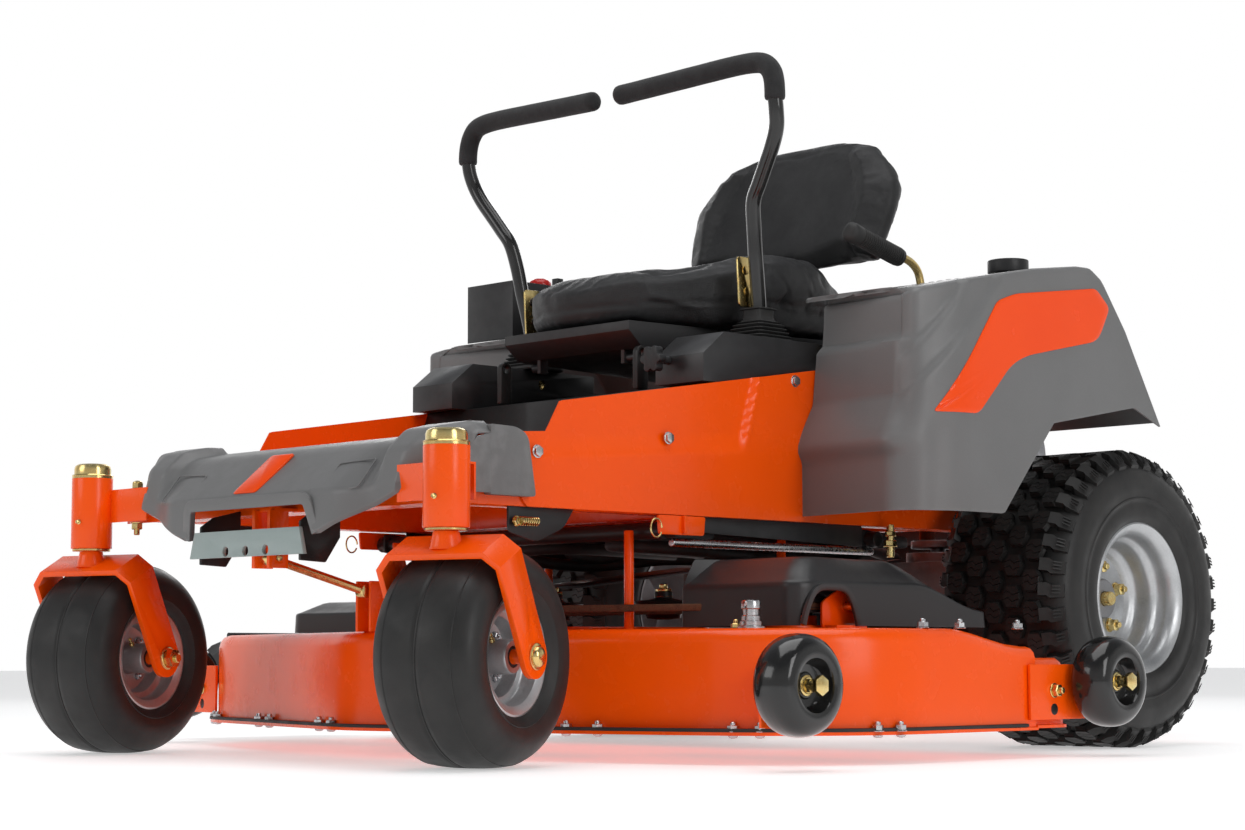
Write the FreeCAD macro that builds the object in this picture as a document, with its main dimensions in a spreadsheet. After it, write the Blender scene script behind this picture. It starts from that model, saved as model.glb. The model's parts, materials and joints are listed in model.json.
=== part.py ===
import FreeCAD, Part
import Sketcher
import math
import os
import re

# Zero turn mower with a three-blade side-discharge deck, modelled in millimetres.
# The row frame has +Z up, the mower faces -Y and its left side is +X.  Every outline below is
# written about the chassis mid-plane (x = 0), the rear axle line (y = 0) and the ground (z = 0);
# publish() then moves each finished sub-part by mid_plane_x and rear_axle_y.

SIZES = {
    # where the chassis frame sits in the row frame
    "mid_plane_x": 57,
    "rear_axle_y": 369,
    # common clearances and sheet gauges
    "running_gap": 0.05,
    "clear_gap": 1,
    "sheet_gauge": 3,
    "plate_gauge": 6,
    # frame rails and axle beam
    "rail_outer": 327,
    "rail_width": 45,
    "rail_base": 338,
    "rail_height": 60,
    "rail_wall": 3,
    "rail_rear": 430,
    "cross_tube": 50,
    "beam_depth": 42,
    "beam_height": 48,
    "beam_setback": 37,
    # caster pivots
    "caster_track": 796,
    "caster_reach": 1234,
    "pivot_radius": 29.75,
    "pivot_base": 300,
    "pivot_top": 403,
    "stem_radius": 12.7,
    "bush_radius": 18,
    "bush_length": 25,
    "bush_flange": 27,
    "bush_lip": 4,
    "cap_height": 18,
    # casters
    "caster_turn": 17,
    "caster_trail": 66,
    "fork_tilt": 27,
    "fork_rise": 156,
    "fork_inside": 166,
    "fork_gauge": 8,
    "fork_bar": 56,
    "fork_bend": 20,
    "caster_tyre_radius": 139.7,
    "caster_tyre_width": 152,
    "caster_bead_radius": 64,
    "caster_flange_radius": 76,
    "caster_rim_width": 112,
    "caster_bolt_radius": 9.5,
    "caster_hub_radius": 22,
    # drive wheels
    "drive_tyre_radius": 228.5,
    "drive_tyre_width": 241,
    "drive_tyre_centre": 484.5,
    "drive_bead_radius": 101.6,
    "drive_flange_radius": 117,
    "drive_rim_width": 214,
    "drive_disc_offset": 28,
    "drive_shaft_radius": 15,
    "lug_circle_radius": 50,
    "lug_radius": 6,
    # orange body
    "body_outer": 330,
    "panel_rear": -442,
    "panel_top": 567,
    "panel_nose": -1088,
    "panel_nose_top": 465,
    "panel_tip": -1113,
    "panel_tip_height": 432,
    "panel_toe": -1040,
    "floor_height": 402,
    "floor_front": -1085,
    "floor_rear": -700,
    "riser_top": -655,
    "seat_deck_rear": -120,
    # front cover
    "cover_half": 250,
    "ear_outer": 345,
    # fenders
    "fender_outer": 580,
    "fender_wall": 4,
    "fender_front": -482,
    "fender_corner_x": 520,
    "fender_corner_y": -508,
    "fender_side_y": -448,
    "fender_skirt": 346,
    "fender_crest_y": -89,
    "fender_crest": 733,
    "fender_mid_y": -236,
    "fender_mid": 716,
    "fender_brow": 662,
    "fender_tail_y": 90,
    "fender_tail": 506,
    # operator's seat
    "seat_half_width": 222,
    "seat_front": -690,
    "seat_rear": -140,
    "seat_base": 642,
    "seat_top": 742,
    "seat_hinge_y": -640,
    "seat_hinge_z": 592,
    "seat_pin_radius": 6,
    "seat_pan_depth": 38,
    "back_half_width": 236,
    "back_height": 262,
    "back_thickness": 84,
    "back_lean": 18,
    # steering levers
    "lever_x": 252,
    "lever_y": -488,
    "lever_pivot_z": 585,
    "lever_pin_z": 600,
    "lever_tube_radius": 11.5,
    "lever_grip_radius": 15.5,
    "lever_shaft_radius": 8,
    "lever_pin_radius": 5,
    "console_top": 608,
    "boot_top": 663,
    # deck
    "lobe_radius": 245,
    "lobe_track": 910,
    "lobe_front": -800,
    "lobe_side": -660,
    "deck_lip": 38,
    "deck_top": 176,
    "deck_tail_top": 137,
    "deck_tail": -325,
    "deck_rear": -415,
    "deck_gauge": 3.5,
    "spindle_radius": 12.5,
    "housing_radius": 42,
    "sheave_base": 200,
    "sheave_height": 16,
    "sheave_flange": 66,
    "sheave_groove": 56,
    "blade_length": 465,
    "blade_width": 64,
    "blade_gauge": 5,
    "blade_height": 58,
    "cover_top": 277,
    "guard_top": 232,
    # gauge wheels on the deck
    "scalp_radius": 63.5,
    "scalp_width": 62,
    "scalp_offset": 741,
    "scalp_height": 104,
    "scalp_bolt_radius": 8,
    # discharge deflector
    "chute_front": -742,
    "chute_rear": -403,
    "chute_hinge_x": -712,
    "chute_hinge_z": 178,
    "chute_reach": 182,
    "chute_drop": 82,
    "hinge_radius": 5,
    # front link and lift lever
    "link_front_y": -1207,
    "link_front_z": 275,
    "link_rear_y": -1042,
    "link_rear_z": 233,
    "link_radius": 6,
    "lift_x": 400,
    "lift_y": -240,
    "lift_z": 450,
    "lift_shaft_radius": 12,
    # engine and rear end
    "engine_y": 235,
    "crank_radius": 14,
    "crankcase_radius": 130,
    "shroud_radius": 188,
    "clutch_radius": 75,
    "clutch_base": 262,
    "guard_reach": 558,
    "guard_tube_radius": 16,
    "hitch_radius": 9.5,
    "accessory_hole_radius": 5.5,
    "accessory_spacing_x": 300,
    "accessory_spacing_z": 36,
}

doc = FreeCAD.newDocument("ZeroTurnMower")
sheet = doc.addObject("Spreadsheet::Sheet", "Dims")
for row, (word, value) in enumerate(SIZES.items(), start=1):
    sheet.set(f"A{row}", word)
    sheet.set(f"B{row}", str(value))
    sheet.setAlias(f"B{row}", word)
doc.recompute()

SUB_PARTS = []


def formula(text):
    """Point each sheet word in a formula at the sheet."""
    return re.sub(r"[a-z]\w*", lambda w: "Dims." + w.group() if w.group() in SIZES else w.group(), str(text))


def number(text):
    """Work out a formula's present value."""
    return float(sheet.evalExpression(formula(text)))


def bind(thing, name, text):
    thing.setExpression(name, formula(text))


def put(thing, at=(0, 0, 0), axis=(0, 0, 1), angle="0"):
    """Turn an object about an axis, then bind its position to three formulas."""
    thing.Placement = FreeCAD.Placement(FreeCAD.Vector(), FreeCAD.Rotation(FreeCAD.Vector(*axis), 30))
    bind(thing, "Placement.Rotation.Angle", angle)
    for letter, text in zip("xyz", at):
        bind(thing, f"Placement.Base.{letter}", text)
    return thing


def publish(node, thing, at=(0, 0, 0), axis=(0, 0, 1), angle="0"):
    """Name a finished sub-part and move it from the chassis frame into the row frame."""
    thing.Label = node
    put(thing, (f"mid_plane_x + {at[0]}", f"rear_axle_y + {at[1]}", at[2]), axis, angle)
    SUB_PARTS.append(thing)
    return thing


def publish_mirror(node, source):
    """Make the right-hand sub-part as the mirror image of the left-hand one."""
    image = doc.addObject("Part::Mirroring", node)
    image.Source = source
    image.Normal = (1, 0, 0)
    bind(image, "Base.x", "mid_plane_x")
    image.Label = node
    SUB_PARTS.append(image)
    return image


TURNS = {"x": ((0, 1, 0), "90"), "y": ((1, 0, 0), "-90"), "z": ((0, 0, 1), "0")}


def rod(radius, length, at, along="z"):
    """A round bar that starts at a point and runs along +X, +Y or +Z."""
    bar = doc.addObject("Part::Cylinder", "Rod")
    bind(bar, "Radius", radius)
    bind(bar, "Height", length)
    return put(bar, at, *TURNS[along])


def cone(low_radius, high_radius, length, at, along="z"):
    body = doc.addObject("Part::Cone", "Cone")
    bind(body, "Radius1", low_radius)
    bind(body, "Radius2", high_radius)
    bind(body, "Height", length)
    return put(body, at, *TURNS[along])


def block(x_span, y_span, z_span):
    """A box between two formulas on each axis."""
    box = doc.addObject("Part::Box", "Block")
    for side, span in zip(("Length", "Width", "Height"), (x_span, y_span, z_span)):
        bind(box, side, f"({span[1]}) - ({span[0]})")
    return put(box, (x_span[0], y_span[0], z_span[0]))


def hex_bar(flats, length, at, along="z"):
    """A nut or bolt head, given across its flats."""
    prism = doc.addObject("Part::Prism", "Hex")
    prism.Polygon = 6
    bind(prism, "Circumradius", f"({flats}) / sqrt(3)")
    bind(prism, "Height", length)
    return put(prism, at, *TURNS[along])


def join(*pieces):
    fuse = doc.addObject("Part::MultiFuse", "Join")
    fuse.Shapes = list(pieces)
    return fuse


def common(one, other):
    both = doc.addObject("Part::Common", "Common")
    both.Base = one
    both.Tool = other
    return both


def carve(base, *tools):
    cut = doc.addObject("Part::Cut", "Carve")
    cut.Base = base
    cut.Tool = tools[0] if len(tools) == 1 else join(*tools)
    return cut


def group(*pieces):
    """Separate solids that share one node."""
    bundle = doc.addObject("Part::Compound", "Group")
    bundle.Links = list(pieces)
    return bundle


def outline_sketch(body, plane, corners):
    """A closed outline whose corners are bound to formulas, on one of the body's own planes."""
    sketch = body.newObject("Sketcher::SketchObject", "Outline")
    origin = [feature for feature in body.Origin.OriginFeatures if feature.Role == plane][0]
    sketch.AttachmentSupport = [(origin, "")]
    sketch.MapMode = "FlatFace"
    spots = [FreeCAD.Vector(number(u), number(v), 0) for u, v in corners]
    count = len(spots)
    for i in range(count):
        sketch.addGeometry(Part.LineSegment(spots[i], spots[(i + 1) % count]), False)
    for i in range(count):
        sketch.addConstraint(Sketcher.Constraint("Coincident", i, 2, (i + 1) % count, 1))
    for i, (u, v) in enumerate(corners):
        for kind, text, value in (("DistanceX", u, spots[i].x), ("DistanceY", v, spots[i].y)):
            index = sketch.addConstraint(Sketcher.Constraint(kind, -1, 1, i, 1, value))
            bind(sketch, f"Constraints[{index}]", text)
    return sketch


def plate(plane, corners, thickness):
    """A flat piece of a given outline, half its thickness each side of its plane."""
    body = doc.addObject("PartDesign::Body", "Plate")
    pad = body.newObject("PartDesign::Pad", "Pad")
    pad.Profile = outline_sketch(body, plane, corners)
    pad.Midplane = True
    bind(pad, "Length", thickness)
    return body


def spun(corners, about="x"):
    """A turned piece: corners are (along, radius) about X, or (radius, height) about Z."""
    body = doc.addObject("PartDesign::Body", "Turned")
    sketch = outline_sketch(body, "XZ_Plane", corners)
    turn = body.newObject("PartDesign::Revolution", "Turn")
    turn.Profile = sketch
    turn.ReferenceAxis = (sketch, ["H_Axis" if about == "x" else "V_Axis"])
    turn.Angle = 360
    return body


def vector(point):
    return FreeCAD.Vector(*[number(text) for text in point])


def bent_path(points, bend):
    """Straight runs joined by tangent arcs of one radius, as a wire."""
    spots = [vector(point) for point in points]
    radius = number(bend)
    edges = []
    start = spots[0]
    for before, corner, after in zip(spots, spots[1:], spots[2:]):
        inward = (before - corner).normalize()
        outward = (after - corner).normalize()
        half = inward.getAngle(outward) / 2
        reach = radius / math.tan(half)
        first = corner + inward * reach
        last = corner + outward * reach
        bisector = (inward + outward).normalize()
        middle = corner + bisector * (radius / math.sin(half) - radius)
        edges.append(Part.LineSegment(start, first).toShape())
        edges.append(Part.Arc(first, middle, last).toShape())
        start = last
    edges.append(Part.LineSegment(start, spots[-1]).toShape())
    return Part.Wire(edges)


def bent_bar(points, bend, radius):
    """A round bar bent along a path."""
    path = bent_path(points, bend)
    start = path.Edges[0].valueAt(path.Edges[0].FirstParameter)
    heading = path.Edges[0].tangentAt(path.Edges[0].FirstParameter)
    ring = Part.Wire([Part.Circle(start, heading, number(radius)).toShape()])
    feature = doc.addObject("Part::Feature", "BentBar")
    feature.Shape = path.makePipeShell([ring], True, False)
    return feature


def both_sides(outer, inner):
    """One closed section: an outer half-profile and its mirror, then the inner one back again."""
    mirrored = [(f"-({along})", radius) for along, radius in reversed(outer)]
    inner_back = [(f"-({along})", radius) for along, radius in inner]
    return outer + mirrored + inner_back + list(reversed(inner))


# ---- frame -------------------------------------------------------------------------------------

def main_frame():
    rail_inner = "rail_outer - rail_width"
    rail_top = "rail_base + rail_height"
    front = "beam_setback - caster_reach + beam_depth / 2"
    rails = []
    for side in (1, -1):
        low = rail_inner if side > 0 else "-rail_outer"
        high = "rail_outer" if side > 0 else f"-({rail_inner})"
        rails.append(carve(
            block((low, high), (front, "rail_rear"), ("rail_base", rail_top)),
            block((f"{low} + rail_wall", f"{high} - rail_wall"), (f"{front} - 1", "rail_rear + 1"),
                  ("rail_base + rail_wall", f"{rail_top} - rail_wall"))))
    pieces = rails
    for station in ("floor_rear", "lift_y - cross_tube * 2", "lift_y + cross_tube"):
        pieces.append(block((f"-({rail_inner})", rail_inner), (station, f"{station} + cross_tube"),
                            ("rail_base", "rail_base + cross_tube")))
    # engine plate on top of the rails, with a hole for the crankshaft
    pieces.append(carve(
        block(("-rail_outer", "rail_outer"), ("engine_y - 150", "rail_rear"),
              (rail_top, f"{rail_top} + plate_gauge")),
        rod("crank_radius * 2", 20, (0, "engine_y", f"{rail_top} - 7"))))
    # battery tray
    pieces.append(block(("-rail_outer", "rail_outer"), ("lift_y - 150", "lift_y - 30"),
                        (rail_top, f"{rail_top} + sheet_gauge")))
    # bearing lug for the lift shaft
    pieces.append(carve(
        block(("rail_outer - 35", "rail_outer - 10"), ("lift_y - 22", "lift_y + 22"), (rail_top, "lift_z + 24")),
        rod("lift_shaft_radius + running_gap", 60, ("rail_outer - 50", "lift_y", "lift_z"), "x")))
    publish("main_frame", group(*pieces))


def front_axle_beam():
    """Pivot tubes on short boxed arms, and the cross tube with the front link's lugs."""
    beam_y = "beam_setback - caster_reach"
    beam_front = f"{beam_y} - beam_depth / 2"
    beam_rear = f"{beam_y} + beam_depth / 2"
    rail_inner = "rail_outer - rail_width"
    beam_top = "rail_base + beam_height"
    pieces = []
    for side in (1, -1):
        x = f"{side} * caster_track / 2"
        end = "caster_track / 2 - 10"
        span = (rail_inner, end) if side > 0 else (f"-({end})", f"-({rail_inner})")
        arm = carve(
            block(span, (beam_front, beam_rear), ("rail_base", beam_top)),
            block((f"{span[0]} - 1", f"{span[1]} + 1"), (f"{beam_front} + rail_wall", f"{beam_rear} - rail_wall"),
                  ("rail_base - 1", f"{beam_top} - rail_wall")))
        tube = rod("pivot_radius", "pivot_top - pivot_base", (x, "-caster_reach", "pivot_base"))
        bore = rod("bush_radius", "pivot_top - pivot_base + 20", (x, "-caster_reach", "pivot_base - 10"))
        pieces.append(carve(join(arm, tube), bore))
    cross = block((f"-({rail_inner})", rail_inner), (beam_rear, f"{beam_rear} + cross_tube"), ("rail_base", beam_top))
    tongue = block((-20, 20), ("link_front_y - 8", beam_rear), ("rail_base", "rail_base + 5"))
    lugs = [block(span, ("link_front_y - 16", "link_front_y + 16"), ("link_front_z - 14", "rail_base + 2"))
            for span in ((14, 20), (-20, -14))]
    bore = rod("hinge_radius + running_gap", 60, (-30, "link_front_y", "link_front_z"), "x")
    pieces.append(carve(join(cross, tongue, *lugs), bore))
    publish("front_axle_beam", group(*pieces))


def pivot_caps():
    """Flanged bushes in the pivot tubes, and the domed dust caps above them."""
    inner = "stem_radius + running_gap"
    pieces = []
    for side in (1, -1):
        x = f"{side} * caster_track / 2"
        at = (x, "-caster_reach", 0)
        lower = spun([(inner, "pivot_base - bush_lip"), ("bush_flange", "pivot_base - bush_lip"),
                      ("bush_flange", "pivot_base"), ("bush_radius", "pivot_base"),
                      ("bush_radius", "pivot_base + bush_length"), (inner, "pivot_base + bush_length")], "z")
        upper = spun([(inner, "pivot_top - bush_length"), ("bush_radius", "pivot_top - bush_length"),
                      ("bush_radius", "pivot_top"), ("bush_flange", "pivot_top"),
                      ("bush_flange", "pivot_top + bush_lip"), (inner, "pivot_top + bush_lip")], "z")
        rim = "pivot_top + bush_lip"
        crown = f"{rim} + cap_height"
        cap = spun([("bush_flange - 4", rim), ("bush_flange - 1", rim), ("bush_flange - 1", f"{crown} - 5"),
                    ("bush_flange - 6", crown), ("0", crown), ("0", f"{crown} - 2"),
                    ("bush_flange - 7", f"{crown} - 2"), ("bush_flange - 4", f"{crown} - 6")], "z")
        pieces += [put(lower, at), put(upper, at), put(cap, at)]
    publish("pivot_caps", group(*pieces))


# ---- casters -----------------------------------------------------------------------------------

def wheel_place(side):
    """The caster wheel's centre after the caster has swivelled."""
    return (f"{side} * caster_track / 2 - caster_trail * sin(caster_turn)",
            "-caster_reach + caster_trail * cos(caster_turn)", "caster_tyre_radius")


def caster_fork():
    """A flat bar bent over the wheel and tilted back, with its stem, collar and axle bolt."""
    half_out = "(fork_inside / 2 + fork_gauge)"
    half_in = "fork_inside / 2"
    arm_end = "-fork_bar / 2"
    under = "(fork_rise - fork_gauge)"
    bar = plate("XZ_Plane", [
        (f"-{half_out}", arm_end), (f"-{half_out}", "fork_rise - fork_bend"),
        (f"fork_bend - {half_out}", "fork_rise"), (f"{half_out} - fork_bend", "fork_rise"),
        (half_out, "fork_rise - fork_bend"), (half_out, arm_end), (half_in, arm_end),
        (half_in, f"{under} - fork_bend * 0.8"), (f"{half_in} - fork_bend * 0.8", under),
        (f"fork_bend * 0.8 - {half_in}", under), (f"-{half_in}", f"{under} - fork_bend * 0.8"),
        (f"-{half_in}", arm_end)], "fork_bar")
    side_shape = join(
        block((f"-{half_out} - 1", f"{half_out} + 1"), ("-fork_bar / 2", "fork_bar / 2"), (0, "fork_rise + 1")),
        rod("fork_bar / 2", f"2 * {half_out} + 2", (f"-{half_out} - 1", 0, 0), "x"))
    rounded = common(bar, side_shape)
    hole = rod("caster_bolt_radius + 0.1", f"2 * {half_out} + 20", (f"-{half_out} - 10", 0, 0), "x")
    tilted = put(carve(rounded, hole), (0, "caster_trail", "caster_tyre_radius"), (1, 0, 0), "fork_tilt")
    plate_height = "(caster_tyre_radius + fork_rise * cos(fork_tilt))"
    stem_top = "pivot_top + bush_lip + cap_height - 4"
    stem = rod("stem_radius", f"{stem_top} - {plate_height} + 3", (0, 0, f"{plate_height} - 3"))
    collar = cone("stem_radius + 9", "stem_radius + 4", f"pivot_base - bush_lip - 0.5 - {plate_height} + 6",
                  (0, 0, f"{plate_height} - 6"))
    nut = hex_bar(30, "cap_height - 7", (0, 0, "pivot_top + bush_lip + clear_gap"))
    fork = join(tilted, stem, collar, nut)
    head_out = f"{half_out} + 8"
    bolt = join(
        rod("caster_bolt_radius", f"2 * {half_out} + 14", (f"-{half_out} - 14", "caster_trail", "caster_tyre_radius"),
            "x"),
        cone(15, 9, 8, (half_out, "caster_trail", "caster_tyre_radius"), "x"),
        hex_bar(27, 11, (f"-{half_out} - 11", "caster_trail", "caster_tyre_radius"), "x"))
    return group(fork, bolt)


def caster_rim():
    """A split steel rim with its hub tube."""
    lip = "caster_rim_width / 2"
    bore = "caster_bolt_radius + running_gap"
    hub = "fork_inside / 2 - 4"
    return spun([
        (f"{lip}", "caster_flange_radius"), (f"{lip} - 3", "caster_flange_radius"),
        (f"{lip} - 3", "caster_bead_radius"), (f"3 - {lip}", "caster_bead_radius"),
        (f"3 - {lip}", "caster_flange_radius"), (f"-{lip}", "caster_flange_radius"),
        (f"-{lip}", "caster_bead_radius - 4"), ("-4", "caster_bead_radius - 4"),
        ("-4", "caster_hub_radius"), (f"-({hub})", "caster_hub_radius"), (f"-({hub})", bore), (hub, bore),
        (hub, "caster_hub_radius"), ("4", "caster_hub_radius"), ("4", "caster_bead_radius - 4"),
        (f"{lip}", "caster_bead_radius - 4")])


def caster_tyre():
    bead = "caster_rim_width / 2 - 3.5"
    side = "caster_tyre_width / 2"
    seat = "caster_bead_radius + 0.3"
    outer = [(bead, seat), (bead, "caster_bead_radius + 16"), (f"{side} - 4", "caster_bead_radius + 31"),
             (side, "caster_bead_radius + 48"), (f"{side} - 6", "caster_tyre_radius - 12"),
             (f"{side} - 20", "caster_tyre_radius - 2.5"), (f"{side} - 40", "caster_tyre_radius")]
    inner = [(f"{bead} - 10", seat), (f"{bead} - 9", "caster_bead_radius + 18"),
             (f"{side} - 14", "caster_bead_radius + 33"), (f"{side} - 11", "caster_bead_radius + 48"),
             (f"{side} - 24", "caster_tyre_radius - 11")]
    return spun(both_sides(outer, inner))


def casters():
    for side, word in ((1, "left"), (-1, "right")):
        pivot = (f"{side} * caster_track / 2", "-caster_reach", 0)
        publish(f"caster_fork_{word}", caster_fork(), pivot, (0, 0, 1), "caster_turn")
        publish(f"caster_rim_{word}", caster_rim(), wheel_place(side), (0, 0, 1), "caster_turn")
        publish(f"caster_tyre_{word}", caster_tyre(), wheel_place(side), (0, 0, 1), "caster_turn")


# ---- drive wheels and transaxles -----------------------------------------------------------------

def drive_rim():
    """Deep-dish rim bolted to its hub flange; the stub shaft runs in the transaxle."""
    lip = "drive_rim_width / 2"
    well = "drive_bead_radius - 4"
    disc = "drive_disc_offset"
    shell = spun([
        (lip, "drive_flange_radius"), (f"{lip} - 4", "drive_flange_radius"), (f"{lip} - 4", "drive_bead_radius"),
        (f"4 - {lip}", "drive_bead_radius"), (f"4 - {lip}", "drive_flange_radius"),
        (f"-{lip}", "drive_flange_radius"), (f"-{lip}", well), (disc, well), (f"{disc} + 8", "drive_bead_radius - 32"),
        (f"{disc} + 8", "drive_shaft_radius + 14"), (f"{disc} + 12", "drive_shaft_radius + 14"),
        (f"{disc} + 12", "drive_bead_radius - 31"), (f"{disc} + 4", well), (lip, well)])
    seat = f"{disc} + 8"
    studs = []
    holes = []
    for turn in range(0, 360, 72):
        y = f"lug_circle_radius * cos({turn})"
        z = f"lug_circle_radius * sin({turn})"
        holes.append(rod("lug_radius + 0.2", 40, (f"{seat} - 10", y, z), "x"))
        studs.append(rod("lug_radius", 22, (f"{seat} - 4", y, z), "x"))
        studs.append(hex_bar(19, 10, (f"{seat} + 4", y, z), "x"))
    inner_end = "-(drive_tyre_centre - rail_outer + 60)"
    hub = join(
        rod("drive_shaft_radius", f"{seat} + 16 - ({inner_end})", (inner_end, 0, 0), "x"),
        rod("lug_circle_radius + 14", 8, (f"{seat} - 8", 0, 0), "x"), *studs)
    return group(carve(shell, *holes), hub)


def drive_tyre():
    bead = "drive_rim_width / 2 - 4.5"
    side = "drive_tyre_width / 2"
    seat = "drive_bead_radius + 0.3"
    outer = [(bead, seat), (bead, "drive_bead_radius + 18"), (f"{side} - 4", "drive_bead_radius + 40"),
             (side, "drive_bead_radius + 62"), (f"{side} - 3", "drive_tyre_radius - 30"),
             (f"{side} - 14", "drive_tyre_radius - 8"), (f"{side} - 32", "drive_tyre_radius")]
    inner = [(f"{bead} - 12", seat), (f"{bead} - 11", "drive_bead_radius + 20"),
             (f"{side} - 16", "drive_bead_radius + 42"), (f"{side} - 14", "drive_bead_radius + 62"),
             (f"{side} - 30", "drive_tyre_radius - 16")]
    return spun(both_sides(outer, inner))


def drive_wheels():
    for side, word in ((1, "left"), (-1, "right")):
        place = (f"{side} * drive_tyre_centre", 0, "drive_tyre_radius")
        angle = "0" if side > 0 else "180"
        publish(f"drive_rim_{word}", drive_rim(), place, (0, 0, 1), angle)
        publish(f"drive_tyre_{word}", drive_tyre(), place, (0, 0, 1), angle)


def transaxles():
    pieces = []
    for side in (1, -1):
        def span(low, high):
            return (low, high) if side > 0 else (f"-({high})", f"-({low})")
        case = join(
            block(span("rail_outer - 175", "rail_outer - 37"), (-88, 74), ("drive_tyre_radius - 62", "rail_base - 46")),
            block(span("rail_outer - 38", "rail_outer - 22"), (-46, 46),
                  ("drive_tyre_radius - 46", "drive_tyre_radius + 46")),
            block(span("rail_outer - 60", "rail_outer - 24"), (-50, 50), ("drive_tyre_radius + 20", "rail_base")),
            rod(52, 16, (f"{side} * (rail_outer - 105)", -20, "rail_base - 46")),
            rod(12, 34, (f"{side} * (rail_outer - 105)", -20, "rail_base - 50")),
            rod(44, 12, (f"{side} * (rail_outer - 105)", -20, "rail_base - 22")))
        low = "rail_outer - 62" if side > 0 else "-(rail_outer - 20)"
        pieces.append(carve(case, rod("drive_shaft_radius + running_gap", 42,
                                      (low, 0, "drive_tyre_radius"), "x")))
    publish("transaxles", group(*pieces))


# ---- orange body -------------------------------------------------------------------------------

PANEL_SLOPE = "(panel_top - panel_nose_top) / (panel_rear - panel_nose)"


def panel_edge(y):
    """Height of the side panel's top edge at a station."""
    return f"panel_top + ({PANEL_SLOPE}) * (({y}) - panel_rear)"


def side_panels():
    corners = [("panel_rear", "rail_base"), ("panel_rear", "panel_top"), ("panel_nose", "panel_nose_top"),
               ("panel_tip", "panel_tip_height"), ("panel_toe", "rail_base + 4")]
    pieces = []
    for side in (1, -1):
        panel = plate("YZ_Plane", corners, "body_outer - rail_outer")
        pieces.append(put(panel, (f"{side} * (body_outer + rail_outer) / 2", 0, 0)))
    publish("side_panels", group(*pieces))


def floor_pan():
    """The foot plate, its riser and the seat deck as one bent sheet, with seat lugs and rubber stops."""
    riser = panel_edge("riser_top")
    sheet_pan = plate("YZ_Plane", [
        ("panel_tip + 8", "panel_tip_height"), ("floor_front", "floor_height"), ("floor_rear", "floor_height"),
        ("riser_top", riser), ("panel_rear", "panel_top"), ("seat_deck_rear", "panel_top"),
        ("seat_deck_rear", "panel_top - sheet_gauge"), ("panel_rear", "panel_top - sheet_gauge"),
        ("riser_top + 2", f"{riser} - sheet_gauge"), ("floor_rear + 2", "floor_height - sheet_gauge"),
        ("floor_front - 2", "floor_height - sheet_gauge"), ("panel_tip + 5", "panel_tip_height - 1")],
        "2 * rail_outer")
    pieces = [sheet_pan]
    for side in (1, -1):
        low = "146" if side > 0 else "-156"
        high = "156" if side > 0 else "-146"
        lug = join(
            block((low, high), ("seat_hinge_y - 11", "seat_hinge_y + 11"), (panel_edge("seat_hinge_y + 11"),
                                                                              "seat_hinge_z")),
            rod(11, 10, (low, "seat_hinge_y", "seat_hinge_z"), "x"))
        bore = rod("seat_pin_radius + running_gap", 30, (f"{low} - 10", "seat_hinge_y", "seat_hinge_z"), "x")
        pieces.append(carve(lug, bore))
        pieces.append(rod(18, "seat_base - seat_pan_depth - panel_top - 0.3",
                          (f"{side} * 150", "seat_rear - 80", "panel_top")))
    publish("floor_pan", group(*pieces))


# ---- front cover and step ------------------------------------------------------------------------

def front_cover():
    """A moulded nose: sloping face, drooping front lip and a raised ear over each axle arm."""
    wall = "sheet_gauge"
    rear = "panel_tip + 3"
    nose = plate("YZ_Plane", [
        ("-1246", "338"), ("-1212", "352"), ("-1176", "420"), (rear, "436"), (rear, f"436 - {wall}"),
        ("-1173", f"420 - {wall}"), ("-1209", "348"), ("-1243", "334")], "2 * cover_half")
    pieces = [nose]
    for side in (1, -1):
        step = plate("YZ_Plane", [
            ("-1246", "338"), ("-1222", "350"), ("-1222", "404"), ("-1134", "440"), (rear, "443"), (rear, "402"),
            ("-1172", "402"), ("-1172", "420"), ("-1214", "352"), ("-1228", "300"), ("-1240", "304")], wall)
        pieces.append(put(step, (f"{side} * (cover_half - {wall} / 2)", 0, 0)))
        ear = plate("YZ_Plane", [
            ("-1222", "350"), ("-1222", "404"), ("-1134", "440"), (rear, "443"), (rear, f"443 - {wall}"),
            ("-1133", f"440 - {wall}"), ("-1219", "402"), ("-1219", "350")], "ear_outer - cover_half")
        pieces.append(put(ear, (f"{side} * (ear_outer + cover_half) / 2", 0, 0)))
        shoulder = plate("YZ_Plane", [
            (f"{rear} - 6", "443"), ("-1068", "445"), ("-1046", "434"), ("-1030", "346"), ("-1033", "346"),
            ("-1049", "430"), ("-1069", f"445 - {wall}"), (f"{rear} - 6", f"443 - {wall}")],
            "ear_outer - body_outer - 1")
        pieces.append(put(shoulder, (f"{side} * (ear_outer + body_outer + 1) / 2", 0, 0)))
        cheek = plate("YZ_Plane", [
            ("-1222", "392"), ("-1222", "404"), ("-1134", "440"), ("-1068", "445"), ("-1046", "434"),
            ("-1030", "346"), ("-1078", "346"), ("-1098", "396"), ("-1150", "396")], wall)
        pieces.append(put(cheek, (f"{side} * (ear_outer - {wall} / 2)", 0, 0)))
    publish("front_cover", join(*pieces))


def step_and_brackets():
    step = plate("XZ_Plane", [("-118", 312), (118, 312), (128, 276), ("-128", 276)], "plate_gauge")
    slots = [rod(7, 30, (x, "-1260", 284), "y") for x in (-45, 0, 45)]
    publish("step_plate", carve(put(step, (0, "-1246", 0)), *slots))
    pieces = []
    for side in (1, -1):
        arm = plate("YZ_Plane", [("-1243", 268), ("-1243", 320), ("-1222", 334), ("-1176", 345), ("-1176", 300),
                                 ("-1200", 266)], 5)
        pieces.append(put(arm, (f"{side} * 112", 0, 0)))
    publish("front_brackets", group(*pieces))


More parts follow.
